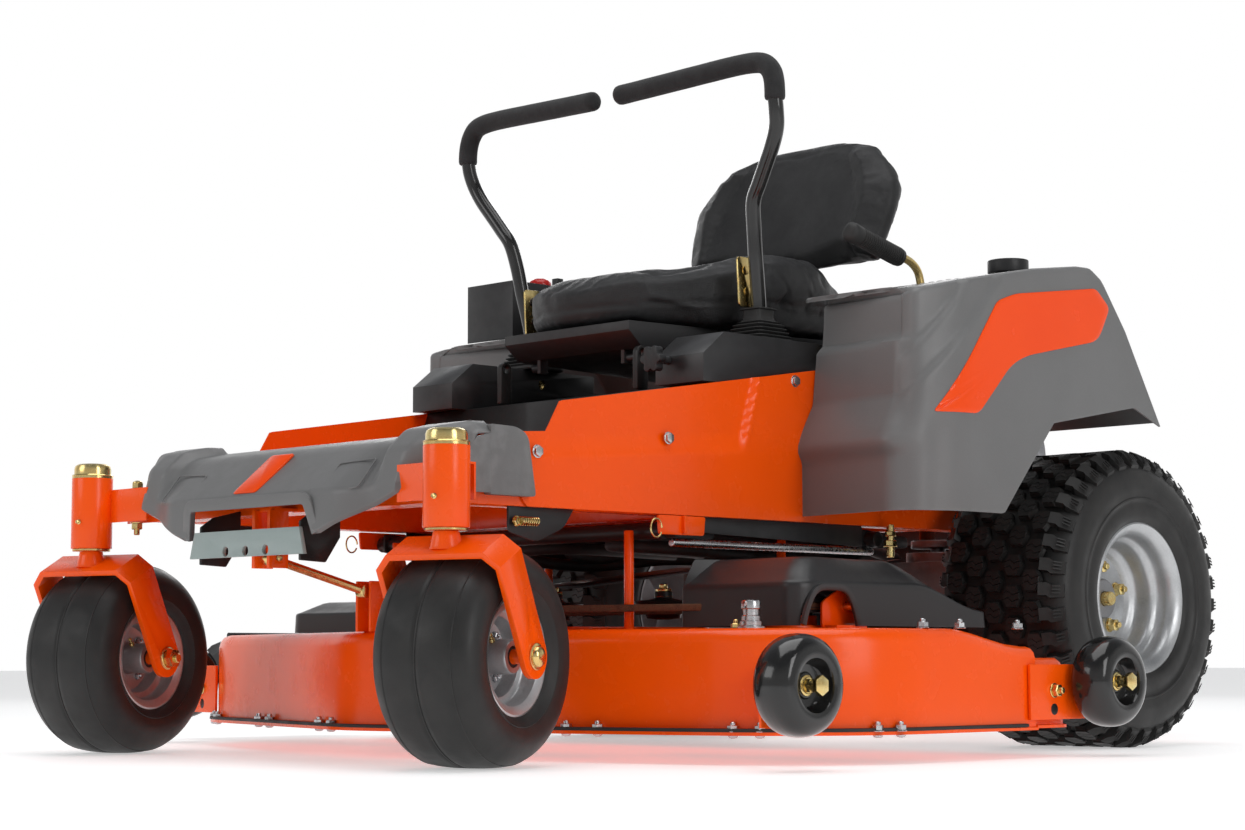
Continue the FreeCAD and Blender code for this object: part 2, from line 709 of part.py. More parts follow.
# ---- fenders, inserts and panel -------------------------------------------------------------------

def fender_solid(inset, reach):
    """The fender's outer form, or the hollow inside it when inset by the wall."""
    base = "fender_skirt" if inset == "0" else "fender_skirt - 60"
    side_view = [
        ("fender_corner_y - 30", base), ("fender_corner_y - 30", f"fender_brow - {inset}"),
        ("fender_mid_y", f"fender_mid - {inset}"), ("fender_crest_y", f"fender_crest - {inset}"),
        (f"-2 - {inset}", f"649 - {inset}"), (f"fender_tail_y - 1.2 * ({inset})", "fender_tail")]
    if inset == "0":
        side_view += [(19, 526), ("-195", 486), ("-322", base)]
    else:
        side_view += [(f"fender_tail_y - 1.2 * ({inset})", base)]
    profile = plate("YZ_Plane", side_view, "fender_outer - body_outer + 40")
    put(profile, ("(fender_outer + body_outer) / 2", 0, 0))
    outer = f"fender_outer - {inset}"
    plan = plate("XY_Plane", [
        (f"body_outer - {reach}", f"fender_front + {inset}"), ("fender_corner_x", f"fender_corner_y + {inset}"),
        (outer, f"fender_side_y + {inset} / 2"), (outer, "fender_tail_y + 20"),
        (f"body_outer - {reach}", "fender_tail_y + 20")], "2 * fender_crest + 100")
    return common(profile, plan)


def fender(side):
    shell = carve(fender_solid("0", "0"), fender_solid("fender_wall", "5"))
    if side > 0:
        slot = block(("lift_x - 10", "lift_x + 10"), ("-340", "-132"), ("fender_brow - 30", "fender_crest + 40"))
        filler = rod(27, 120, ("440", "-112", "fender_crest - 60"))
        shell = carve(shell, slot, filler)
        return shell
    flipped = doc.addObject("Part::Mirroring", "Flipped")
    flipped.Source = shell
    flipped.Normal = (1, 0, 0)
    return flipped


def fenders():
    publish("fender_left", fender(1))
    publish("fender_right", fender(-1))


def trim_inserts():
    """Thin coloured inserts: one on each fender and a blank badge on the nose."""
    corners = [("-440", 489), ("-381", 488), ("-301", 565), ("-261", 582), ("-76", 620), ("-46", 672),
               ("-80", 698), ("-287", 672), ("-331", 657)]
    pieces = []
    for side in (1, -1):
        insert = plate("YZ_Plane", corners, 2)
        pieces.append(put(insert, (f"{side} * (fender_outer + 1)", 0, 0)))
    badge = plate("XY_Plane", [(-27, -34), (27, -34), (30, 34), (-30, 34)], 2)
    pieces.append(put(badge, (0, "-1195", 386.6), (1, 0, 0), "62.1"))
    publish("trim_inserts", group(*pieces))


def consoles():
    """Lever consoles on the seat deck, and the control box on the right fender."""
    pieces = []
    for side in (1, -1):
        profile = [("riser_top", panel_edge("riser_top")), ("panel_rear", "panel_top"), ("-370", "panel_top"),
                   ("-370", "console_top"), ("-640", "console_top"), ("-684", "console_top - 34"),
                   ("-684", f"{panel_edge('riser_top')}")]
        body = put(plate("YZ_Plane", profile, 96), (f"{side} * 274", 0, 0))
        x = f"{side} * lever_x"
        pocket = block((f"{x} - 17", f"{x} + 17"), ("lever_y - 32", "lever_y + 32"),
                       ("lever_pivot_z - 14", "console_top + 1"))
        low = "lever_x - 26" if side > 0 else "-lever_x - 28"
        bore = rod("lever_shaft_radius + running_gap", 54, (low, "lever_y", "lever_pivot_z"), "x")
        pieces.append(carve(body, pocket, bore))
        if side > 0:
            stud = rod(6, 16, (x, "-700", "console_top - 40"), "y")
            pieces.append(carve(stud, rod(3.5, 20, (x, "-702", "console_top - 40"), "y")))
    box = block(("-455", "-340"), ("-450", "-215"), (640, 776))
    under = doc.addObject("Part::Mirroring", "RightFenderForm")
    under.Source = fender_solid("0", "0")
    under.Normal = (1, 0, 0)
    panel = carve(box, under, rod(5.05, 30, (-400, -331, 752)), rod(6.05, 30, (-360, -260, 752)),
                  block(("-428", "-412"), ("-300", "-240"), (750, 780)))
    pieces.append(panel)
    publish("consoles", group(*pieces))


# ---- steering levers -----------------------------------------------------------------------------

def lever_boots():
    pieces = []
    for side in (1, -1):
        boot = spun([(34, "console_top + 0.5"), (40, "console_top + 0.5"), (40, "console_top + 10"),
                     (34, "console_top + 22"), (17, "boot_top"), (14, "boot_top"), (30, "console_top + 20")], "z")
        pieces.append(put(boot, (f"{side} * lever_x", "lever_y", 0)))
    publish("lever_boots", group(*pieces))


def lever_pivot():
    """A yoke that rocks on a cross shaft in the console and carries the lever's fore-and-aft pin."""
    yoke = carve(
        block(("lever_x - 10", "lever_x + 10"), ("lever_y - 18", "lever_y + 18"),
              ("lever_pivot_z - 9", "lever_pin_z + 9")),
        block(("lever_x - 11", "lever_x + 11"), ("lever_y - 8", "lever_y + 8"),
              ("lever_pin_z - 12", "lever_pin_z + 10")),
        rod("lever_pin_radius + running_gap", 50, ("lever_x", "lever_y - 25", "lever_pin_z"), "y"))
    return join(yoke, rod("lever_shaft_radius", 50, ("lever_x - 24", "lever_y", "lever_pivot_z"), "x"))


def lever_arm():
    """The lever's eye and pin, its bent tube, the adjusting plate and the padded grip."""
    eye = join(
        block(("lever_x - 8", "lever_x + 8"), ("lever_y - 7.5", "lever_y + 7.5"),
              ("lever_pin_z - 2.5", "lever_pin_z + 44")),
        rod("lever_pin_radius", 36, ("lever_x", "lever_y - 18", "lever_pin_z"), "y"))
    route = [("lever_x", "lever_y", "lever_pin_z + 45"), ("lever_x + 2", "lever_y", 668), (260, -502, 739),
             (270, -518, 818), (305, -528, 870), (339, -540, 922), (343, -549, 962)]
    tube = bent_bar(route, 34, "lever_tube_radius")
    grip = bent_bar([(343, -549, 966), (339, -548, 1012), (296, -549, 1026), (24, -561, 1016)], 22,
                    "lever_grip_radius")
    bracket = join(
        block(("lever_x - lever_tube_radius - 5.5", "lever_x - lever_tube_radius - 2"),
              ("lever_y - 25", "lever_y + 5"), (666, 742)),
        rod(7, 6, ("lever_x - lever_tube_radius - 11", "lever_y - 8", 690), "x"),
        rod(7, 6, ("lever_x - lever_tube_radius - 11", "lever_y - 12", 722), "x"))
    return group(eye, tube, grip, bracket)


def levers():
    publish_mirror("lever_pivot_right", publish("lever_pivot_left", lever_pivot()))
    publish_mirror("lever_right", publish("lever_left", lever_arm()))


# ---- seat ----------------------------------------------------------------------------------------

def seat():
    pan_low = "seat_base - seat_pan_depth"
    pan = put(plate("YZ_Plane", [
        ("seat_front + 4", "seat_base"), ("seat_front + 4", "seat_base - 14"), ("seat_front + 36", pan_low),
        ("seat_rear - 55", pan_low), ("seat_rear + 20", "seat_base - 20"), ("seat_rear + 66", "seat_base + 60"),
        ("seat_rear + 60", "seat_base + 64"), ("seat_rear + 8", "seat_base")], "2 * seat_half_width - 50"))
    pins = []
    for side in (1, -1):
        low = "128" if side > 0 else "-138"
        ear = block((low, f"{low} + 10"), ("seat_hinge_y - 10", "seat_hinge_y + 10"),
                    ("seat_hinge_z - 9", f"{pan_low} + 3"))
        pin = rod("seat_pin_radius", 30, ("132" if side > 0 else "-162", "seat_hinge_y", "seat_hinge_z"), "x")
        pins += [ear, pin]
    publish("seat_pan", join(pan, *pins))
    cushion = plate("YZ_Plane", [
        ("seat_front", "seat_base + 1"), ("seat_front", "seat_top - 50"), ("seat_front + 30", "seat_top - 20"),
        ("seat_front + 130", "seat_top - 4"), ("seat_rear - 110", "seat_top"), ("seat_rear - 14", "seat_top"),
        ("seat_rear", "seat_base + 1")], "2 * seat_half_width")
    publish("seat_cushion", cushion)
    corner = "back_half_width - 60"
    back = plate("XZ_Plane", [
        ("20 - back_half_width", 0), ("back_half_width - 20", 0), ("back_half_width", 40),
        ("back_half_width - 6", "back_height - 70"), (corner, "back_height"), (f"-({corner})", "back_height"),
        ("6 - back_half_width", "back_height - 70"), ("-back_half_width", 40)], "back_thickness")
    publish("seat_backrest", back, (0, "seat_rear + 22", "seat_top + 17"), (1, 0, 0), "-back_lean")


# ---- deck ----------------------------------------------------------------------------------------

def deck_form(inset, drop):
    """The deck's outer form, or the space under it when inset by the gauge."""
    top = f"deck_top - {inset}"
    base = f"deck_lip - {drop}"
    radius = f"lobe_radius - {inset}"
    half = "lobe_track / 2"
    lobes = [rod(radius, f"({top}) - ({base})", (x, y, base))
             for x, y in (("0", "lobe_front"), (half, "lobe_side"), (f"-{half}", "lobe_side"))]
    side = f"{half} + lobe_radius - {inset}"
    lean = "0.294"
    rise = "0.956"
    fill = plate("XY_Plane", [
        (f"-({half} + {lean} * ({radius}))", f"lobe_side - {rise} * ({radius})"),
        (f"-{lean} * ({radius})", f"lobe_front - {rise} * ({radius})"),
        (f"{lean} * ({radius})", f"lobe_front - {rise} * ({radius})"),
        (f"{half} + {lean} * ({radius})", f"lobe_side - {rise} * ({radius})"),
        (side, "lobe_side"), (side, f"deck_rear - {inset}"), (f"-({side})", f"deck_rear - {inset}"),
        (f"-({side})", "lobe_side")], f"({top}) - ({base})")
    put(fill, (0, 0, f"(({top}) + ({base})) / 2"))
    tail = block(("200", f"{side} - 10"), ("deck_rear - 60", f"deck_tail - {inset}"),
                 (base, f"deck_tail_top - {inset}"))
    return join(*lobes, fill, tail)


def spindle_places():
    return (("left", "lobe_track / 2", "lobe_side"), ("centre", "0", "lobe_front"),
            ("right", "-lobe_track / 2", "lobe_side"))


def deck_shell():
    holes = [rod("housing_radius + 0.2", 40, (x, y, "deck_top - 20")) for _, x, y in spindle_places()]
    mouth = block(("-(lobe_track / 2 + lobe_radius + 5)", "-(lobe_track / 2 + lobe_radius - 70)"),
                  ("chute_front + 8", "deck_rear - 8"), ("blade_height + 8", "deck_top - 24"))
    publish("deck_shell", carve(deck_form("0", "0"), deck_form("deck_gauge", "5"), mouth, *holes))


def spindle_housing(x, y):
    flange_top = "deck_top + plate_gauge"
    body = join(rod("housing_radius", "sheave_base - 4 - blade_height - 30", (x, y, "blade_height + 30")),
                rod("housing_radius + 20", "plate_gauge", (x, y, "deck_top")))
    return carve(body, rod("spindle_radius + running_gap", 200, (x, y, "blade_height")))


def scalp_places():
    return (("front_left", 1, "-964"), ("rear_left", 1, "-303"), ("front_right", -1, "-828"),
            ("rear_right", -1, "-318"))


def deck_brackets():
    """Spindle housings, gauge-wheel arms, front lift lugs, deflector hinge lugs and the lift posts."""
    pieces = [spindle_housing(x, y) for _, x, y in spindle_places()]
    wall = "lobe_track / 2 + lobe_radius"
    for _, side, y in scalp_places():
        front = f"{y} - 24"
        rear = f"{y} + 24"
        anchor = "lobe_side + 40" if float(y) < -700 else "deck_rear - 20"
        start, stop = (front, anchor) if float(y) < -700 else (anchor, rear)
        low = wall if side > 0 else f"-({wall} + plate_gauge)"
        high = f"{wall} + plate_gauge" if side > 0 else f"-({wall})"
        arm_mid = "deck_top - 30"
        arm = join(
            block((low, high), (start, stop), (arm_mid, "deck_top + plate_gauge")),
            block((low, high), (front, rear), ("scalp_height - 22", arm_mid)))
        tab_low = f"{wall} - 60" if side > 0 else f"-({wall})"
        tab_high = wall if side > 0 else f"-({wall} - 60)"
        tab = block((tab_low, tab_high), (f"{anchor} - 40", anchor), ("deck_top", "deck_top + plate_gauge"))
        hole = rod("scalp_bolt_radius + 0.1", 40, (f"{low} - 15", y, "scalp_height"), "x")
        pieces.append(carve(join(arm, tab), hole))
    for side in (1, -1):
        low = "12" if side > 0 else "-17"
        pieces.append(block((low, f"{low} + 5"), ("link_rear_y - 2", "link_rear_y + 30"),
                            ("deck_top", "link_rear_z + 14")))
    for y in ("chute_front - 18", "chute_rear + 3"):
        lug = block(("chute_hinge_x - 9", f"-({wall} + plate_gauge)"), (y, f"{y} + 12"), ("chute_hinge_z - 9", "chute_hinge_z + 9"))
        bore = rod("hinge_radius + running_gap", 30, ("chute_hinge_x", f"{y} - 9", "chute_hinge_z"), "y")
        pieces.append(carve(lug, bore))
    for side in (1, -1):
        for y in ("lobe_side - 110", "deck_rear - 30"):
            low = "rail_outer - rail_width - 26"
            x = low if side > 0 else f"-({low})"
            pieces.append(rod(7, "rail_base - 20 - deck_top", (x, y, "deck_top")))
    publish("deck_brackets", group(*pieces))


def deck_bolts():
    """Gauge-wheel bolts and the flange nuts along the deck's lip."""
    wall = "lobe_track / 2 + lobe_radius"
    reach = "scalp_offset + scalp_width / 2"
    pieces = []
    for _, side, y in scalp_places():
        inner = f"{wall} - 9" if side > 0 else f"-({reach} + 5)"
        bolt = rod("scalp_bolt_radius", f"{reach} - ({wall}) + 14", (inner, y, "scalp_height"), "x")
        head_low = f"{reach} + 1" if side > 0 else f"-({reach} + 8)"
        nut_low = f"{wall} - 8" if side > 0 else f"-({wall})"
        pieces.append(join(bolt, hex_bar(22, 7, (head_low, y, "scalp_height"), "x"),
                           hex_bar(20, 8, (nut_low, y, "scalp_height"), "x")))
    publish("deck_bolts", group(*pieces))


def shell_box(x_span, y_span, top, *openings):
    """A five-sided cover, open below, standing on the deck."""
    outer = block(x_span, y_span, ("deck_top", top))
    inner = block((f"{x_span[0]} + sheet_gauge", f"{x_span[1]} - sheet_gauge"),
                  (f"{y_span[0]} + sheet_gauge", f"{y_span[1]} - sheet_gauge"),
                  ("deck_top - 1", f"{top} - sheet_gauge"))
    return carve(outer, inner, *openings)


def belt_covers():
    slot = ("sheave_base - 4", "sheave_base + sheave_height + 4")
    left = shell_box(("body_outer + 8", "lobe_track / 2 + 105"), ("lobe_side - 95", "lobe_side + 300"), "cover_top",
                     block(("body_outer", "body_outer + 62"), ("lobe_side - 98", "lobe_side + 80"), slot))
    right = shell_box(("-(lobe_track / 2 + 105)", "-(body_outer + 8)"), ("lobe_side - 95", "lobe_side + 95"),
                      "guard_top",
                      block(("-(body_outer + 62)", "-body_outer"), ("lobe_side - 98", "lobe_side + 80"), slot))
    publish("belt_covers", group(left, right))


def deck_belt():
    """The deck belt: one closed loop around the three sheaves."""
    centres = [(x, y, "sheave_base + 3") for _, x, y in spindle_places()]
    loop = Part.makePolygon([vector(point) for point in centres + centres[:1]])
    outer = Part.Face(loop.makeOffset2D(number("sheave_flange - 1")))
    inner = Part.Face(loop.makeOffset2D(number("sheave_groove + 0.6")))
    belt = doc.addObject("Part::Feature", "Belt")
    belt.Shape = outer.cut(inner).extrude(vector((0, 0, "sheave_height - 6")))
    publish("deck_belt", belt)


def blades():
    for word, x, y in spindle_places():
        top = "sheave_base + sheave_height"
        sheave = spun([("0", "sheave_base"), ("sheave_flange", "sheave_base"), ("sheave_flange", "sheave_base + 2"),
                       ("sheave_groove", "sheave_base + 2"), ("sheave_groove", f"{top} - 2"),
                       ("sheave_flange", f"{top} - 2"), ("sheave_flange", top), ("0", top)], "z")
        shaft = join(sheave, rod("spindle_radius", f"{top} + 6 - blade_height", (0, 0, "blade_height")),
                     hex_bar(28, 8, (0, 0, "blade_height - 9")), rod(11, 10, (0, 0, "blade_height - 9")),
                     rod(26, 20, (0, 0, "blade_height + blade_gauge")))
        bar = block(("-blade_length / 2", "blade_length / 2"), ("-blade_width / 2", "blade_width / 2"),
                    ("blade_height", "blade_height + blade_gauge"))
        publish(f"blade_{word}", join(shaft, bar), (x, y, 0))


def gauge_wheels():
    for word, side, y in scalp_places():
        half = "scalp_width / 2"
        wheel = spun([
            (f"-{half}", "scalp_bolt_radius + running_gap"), (half, "scalp_bolt_radius + running_gap"),
            (half, "scalp_bolt_radius + 10"), (f"{half} - 10", "scalp_bolt_radius + 14"),
            (f"{half} - 10", "scalp_radius - 24"), (f"{half} - 2", "scalp_radius - 14"),
            (f"{half} - 8", "scalp_radius - 4"), (f"{half} - 18", "scalp_radius"),
            (f"18 - {half}", "scalp_radius"), (f"8 - {half}", "scalp_radius - 4"),
            (f"2 - {half}", "scalp_radius - 14"), (f"-{half}", "scalp_bolt_radius + 12")])
        angle = "0" if side > 0 else "180"
        publish(f"gauge_wheel_{word}", wheel, (f"{side} * scalp_offset", y, "scalp_height"), (0, 0, 1), angle)


def chute_deflector():
    """A hinged deflector: a bent sheet with an end wall at the front and its hinge rod."""
    bend_x = "chute_hinge_x - chute_reach * 0.4"
    bend_z = "chute_hinge_z - 20"
    tip_x = "chute_hinge_x - chute_reach"
    tip_z = "chute_hinge_z - chute_drop"
    sheet_piece = plate("XZ_Plane", [
        ("chute_hinge_x", "chute_hinge_z + 2"), (bend_x, f"{bend_z} + 4"), (tip_x, f"{tip_z} + 2"),
        (f"{tip_x} + 3", f"{tip_z} - 2"), (bend_x, bend_z), ("chute_hinge_x", "chute_hinge_z - 2")],
        "chute_rear - chute_front - 4")
    put(sheet_piece, (0, "(chute_rear + chute_front) / 2", 0))
    wall = plate("XZ_Plane", [
        ("chute_hinge_x - 2", "chute_hinge_z"), (bend_x, f"{bend_z} + 2"), (f"{tip_x} + 3", tip_z),
        ("chute_hinge_x - 2", tip_z)], 4)
    put(wall, (0, "chute_front + 4", 0))
    hinge = rod("hinge_radius", "chute_rear - chute_front + 32",
                ("chute_hinge_x", "chute_front - 16", "chute_hinge_z"), "y")
    publish("chute_deflector", join(sheet_piece, wall, hinge))


# ---- controls ------------------------------------------------------------------------------------

def front_link():
    link = join(
        bent_bar([(0, "link_front_y", "link_front_z"), (0, "link_rear_y", "link_rear_z")], 10, "link_radius"),
        rod(10, 16, (-8, "link_front_y", "link_front_z"), "x"),
        rod("hinge_radius", 44, (-22, "link_front_y", "link_front_z"), "x"),
        rod(10, 16, (-8, "link_rear_y", "link_rear_z"), "x"))
    publish("front_link", link)


def lift_lever():
    shaft = rod("lift_shaft_radius", "lift_x + 12 - rail_outer + 45", ("rail_outer - 45", "lift_y", "lift_z"), "x")
    handle = bent_bar([("lift_x", "lift_y", "lift_z"), ("lift_x", "lift_y - 80", "lift_z + 248"),
                       ("lift_x", "lift_y - 112", "lift_z + 285"), ("lift_x", "lift_y - 150", "lift_z + 298")],
                      14, 6)
    grip = bent_bar([("lift_x", "lift_y - 132", "lift_z + 292"), ("lift_x", "lift_y - 213", "lift_z + 319")], 10, 15)
    publish("lift_lever", join(shaft, handle, grip))


def small_controls():
    knob = spun([("0", 766), (5, 766), (5, 779), (19, 781), (20, 788), (14, 796), ("0", 798)], "z")
    publish("pto_knob", knob, (-400, -331, 0))
    throttle = join(rod(3.5, 12, (-426, -270, 760), "x"), block((-423, -417), (-275, -265), (760, 800)),
                    block((-427, -413), (-277, -263), (794, 806)))
    publish("throttle_lever", throttle)
    key = join(rod(6, 18, (0, 0, 762)), block((-12, 12), (-2, 2), (780, 800)))
    publish("ignition_key", key, (-360, -260, 0))
    publish("fuel_cap", rod(32, 20, (0, 0, 0)), (440, -112, "fender_crest + 3.5"))
    lobes = [rod(6, 14, (f"14 * cos({turn})", f"14 * sin({turn})", 0)) for turn in range(0, 360, 60)]
    star = join(rod(15, 14, (0, 0, 0)), *lobes, rod(3.4, 26, (0, 0, "-22")))
    publish("console_knob", star, ("lever_x", "-708", "console_top - 40"), (1, 0, 0), "90")


# ---- engine and rear end --------------------------------------------------------------------------

def engine():
    base = "rail_base + rail_height + plate_gauge"
    case = rod("crankcase_radius", 104, (0, "engine_y", base))
    barrels = []
    for side in (1, -1):
        barrel = doc.addObject("Part::Cylinder", "Barrel")
        barrel.Radius = 58
        barrel.Height = 205
        turned = doc.addObject("Part::Compound", "BarrelTurned")
        turned.Links = [put(barrel, (0, 0, 0), (0, 1, 0), "90")]
        put(turned, (0, "engine_y", f"{base} + 62"), (0, 0, 1), "42" if side > 0 else "138")
        barrels.append(turned)
    socket = rod("crank_radius + running_gap", 30, (0, "engine_y", f"{base} - 1"))
    publish("engine_block", carve(join(case, *barrels), socket))
    deck = f"({base} + 104)"
    shroud = spun([
        ("0", f"{deck} + 16"), ("shroud_radius - 40", f"{deck} + 16"), ("shroud_radius", f"{deck} + 17"),
        ("shroud_radius", f"{deck} + 50"), ("shroud_radius - 26", f"{deck} + 92"), ("96", f"{deck} + 106"),
        ("90", f"{deck} + 118"), ("0", f"{deck} + 122")], "z")
    cleaner = block((-120, 120), ("-96", "-20"), (f"{deck} + 108", f"{deck} + 150"))
    publish("engine_shroud", join(shroud, cleaner), (0, "engine_y", 0))
    publish("muffler", join(
        rod(46, 300, (-150, "guard_reach - 74", 452), "x"),
        rod(14, 60, (-110, "guard_reach - 74", 405)), rod(14, 60, (110, "guard_reach - 74", 405))))
    publish("pto_clutch", join(
        rod("crank_radius", f"{base} + 26 - clutch_base", (0, 0, "clutch_base")),
        rod("clutch_radius", 46, (0, 0, "clutch_base + 26")), rod("clutch_radius - 12", 4, (0, 0, "clutch_base")),
        rod(40, 14, (0, 0, "clutch_base + 4")), rod("clutch_radius - 12", 4, (0, 0, "clutch_base + 18")),
        rod(30, 8, (0, 0, "clutch_base + 20"))), (0, "engine_y", 0))


def tank_and_battery():
    tank = join(block(("body_outer + 16", "fender_outer - 14"), ("-138", "-34"), (548, 652)),
                rod(22, "fender_crest + 2.5 - 640", (440, -112, 640)))
    publish("fuel_tank", tank)
    base = "rail_base + rail_height + sheet_gauge"
    battery = join(block((-98, 98), ("lift_y - 150", "lift_y - 34"), (base, f"{base} + 140")),
                   rod(8, 12, (-74, "lift_y - 60", f"{base} + 138")), rod(8, 12, (74, "lift_y - 60", f"{base} + 138")))
    publish("battery", battery)


def rear_guard():
    """Back plate with accessory holes, the hitch tongue and the tubular guard."""
    back = block(("-rail_outer", "rail_outer"), ("rail_rear", "rail_rear + plate_gauge"),
                 ("rail_base", "rail_base + rail_height + 60"))
    tongue = block((-70, 70), ("rail_rear", "rail_rear + 128"), ("rail_base", "rail_base + plate_gauge"))
    holes = [rod("accessory_hole_radius", 40, (f"{sx} * accessory_spacing_x / 2", "rail_rear - 15",
                                               f"rail_base + 84 + {sz} * accessory_spacing_z / 2"), "y")
             for sx in (1, -1) for sz in (1, -1)]
    hitch = rod("hitch_radius", 40, (0, "rail_rear + 98", "rail_base - 15"))
    reach = "guard_reach"
    bar = bent_bar([("40 - rail_outer", "rail_rear + 3", 440), ("40 - rail_outer", reach, 440),
                    ("rail_outer - 40", reach, 440), ("rail_outer - 40", "rail_rear + 3", 440)], 60,
                   "guard_tube_radius")
    publish("rear_guard", carve(join(back, tongue, bar), hitch, *holes))


def chassis_bolts():
    """The larger visible bolts on the side panels and the axle beam."""
    pieces = []
    for side in (1, -1):
        low = "body_outer" if side > 0 else "-body_outer - 6"
        for y, z in ((-766, 445), (-1017, 412), (-496, 546)):
            pieces.append(join(rod(9, 2, (low if side > 0 else "-body_outer - 2", y, z), "x"),
                               hex_bar(13, 6, (low, y, z), "x")))
    publish("chassis_bolts", group(*pieces))


main_frame()
front_axle_beam()
pivot_caps()
casters()
drive_wheels()
transaxles()
side_panels()
floor_pan()
front_cover()
step_and_brackets()
fenders()
trim_inserts()
consoles()
lever_boots()
levers()
seat()
deck_shell()
deck_brackets()
deck_bolts()
belt_covers()
deck_belt()
blades()
gauge_wheels()
chute_deflector()
front_link()
lift_lever()
small_controls()
engine()
tank_and_battery()
rear_guard()
chassis_bolts()

doc.recompute()
for thing in doc.Objects:
    if "Invalid" in thing.State or "Error" in thing.State:
        raise RuntimeError(f"{thing.Label} ({thing.Name}) did not build: {thing.State}")
os.makedirs("parts", exist_ok=True)
for part in SUB_PARTS:
    if part.Shape.isNull() or not part.Shape.isValid() or not part.Shape.Solids:
        raise RuntimeError(f"{part.Label} has no valid solid")
    part.Shape.exportStep(f"parts/{part.Label}.step")
    print(part.Label, len(part.Shape.Solids), "solids")
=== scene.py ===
import json
import math

import bmesh
import bpy
from mathutils import Matrix, Vector, noise

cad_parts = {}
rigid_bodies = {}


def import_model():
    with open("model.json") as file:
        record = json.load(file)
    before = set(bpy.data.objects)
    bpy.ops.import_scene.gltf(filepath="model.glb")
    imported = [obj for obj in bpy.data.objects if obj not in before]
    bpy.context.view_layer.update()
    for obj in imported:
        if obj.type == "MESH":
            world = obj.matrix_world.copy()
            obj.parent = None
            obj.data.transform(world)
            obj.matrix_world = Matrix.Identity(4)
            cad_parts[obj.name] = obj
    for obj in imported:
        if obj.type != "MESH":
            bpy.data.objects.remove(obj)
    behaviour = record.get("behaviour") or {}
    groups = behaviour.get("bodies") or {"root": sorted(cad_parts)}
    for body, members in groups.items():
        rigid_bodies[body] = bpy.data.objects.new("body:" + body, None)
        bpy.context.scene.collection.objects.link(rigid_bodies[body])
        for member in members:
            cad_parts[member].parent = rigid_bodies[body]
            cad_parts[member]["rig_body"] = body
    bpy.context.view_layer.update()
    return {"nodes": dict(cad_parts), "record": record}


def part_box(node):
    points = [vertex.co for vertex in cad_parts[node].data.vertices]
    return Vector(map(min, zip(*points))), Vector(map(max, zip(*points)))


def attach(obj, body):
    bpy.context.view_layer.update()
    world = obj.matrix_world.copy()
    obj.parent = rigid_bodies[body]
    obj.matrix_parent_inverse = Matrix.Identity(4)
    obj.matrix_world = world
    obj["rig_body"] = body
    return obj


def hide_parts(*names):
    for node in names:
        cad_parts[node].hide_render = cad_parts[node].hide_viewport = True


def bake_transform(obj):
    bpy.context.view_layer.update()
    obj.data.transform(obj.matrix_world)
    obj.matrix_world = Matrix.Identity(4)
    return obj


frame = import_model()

# Points are given in mm of the mower: X across from its middle (its left is +X), Y back from the rear axle, Z up.
BEAM_LOW, BEAM_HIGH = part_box("front_axle_beam")
TYRE_LOW, TYRE_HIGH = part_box("drive_tyre_left")
MID = (BEAM_LOW.x + BEAM_HIGH.x) / 2
AXLE = (TYRE_LOW.y + TYRE_HIGH.y) / 2
X, Y, Z = Vector((1, 0, 0)), Vector((0, 1, 0)), Vector((0, 0, 1))
SIDES = {"left": 1, "right": -1}
SOFT_SHADE = math.radians(38)


def at(point):
    """A point of the mower in mm, as a place in the frame in metres."""
    return Vector((MID + point[0] / 1000, AXLE + point[1] / 1000, point[2] / 1000))


def here(place):
    """A place in the frame in metres, as a point of the mower in mm."""
    return Vector(((place.x - MID) * 1000, (place.y - AXLE) * 1000, place.z * 1000))


def as_built(thing):
    """A thing's mesh with its modifiers worked in."""
    return bpy.data.meshes.new_from_object(thing.evaluated_get(bpy.context.evaluated_depsgraph_get()))


# ---------------------------------------------------------------- camera, floor and lights
def set_camera():
    """A low camera at the front left corner."""
    data = bpy.data.cameras.new("camera")
    data.lens, data.sensor_width, data.clip_end = 72.3, 36, 100
    camera = bpy.data.objects.new("camera", data)
    bpy.context.scene.collection.objects.link(camera)
    yaw, pitch, roll = math.radians(45.115), math.radians(5.601), math.radians(-0.135)
    turn = Matrix.Rotation(yaw, 4, "Z") @ Matrix.Rotation(math.pi / 2 + pitch, 4, "X") @ Matrix.Rotation(roll,
            4, "Z")
    camera.matrix_world = Matrix.Translation((2.8172, -2.9073, 0.1351)) @ turn
    bpy.context.scene.camera = camera


def soft_light(name, place, aim, size, watts, tint=(1, 1, 1)):
    """A large soft lamp aimed at a place."""
    data = bpy.data.lights.new(name, "AREA")
    data.shape, data.size, data.size_y, data.energy, data.color = "RECTANGLE", size[0], size[1], watts, tint
    lamp = bpy.data.objects.new(name, data)
    bpy.context.scene.collection.objects.link(lamp)
    lamp.location = place
    lamp.rotation_mode = "QUATERNION"
    lamp.rotation_quaternion = (Vector(aim) - Vector(place)).to_track_quat("-Z", "Y")


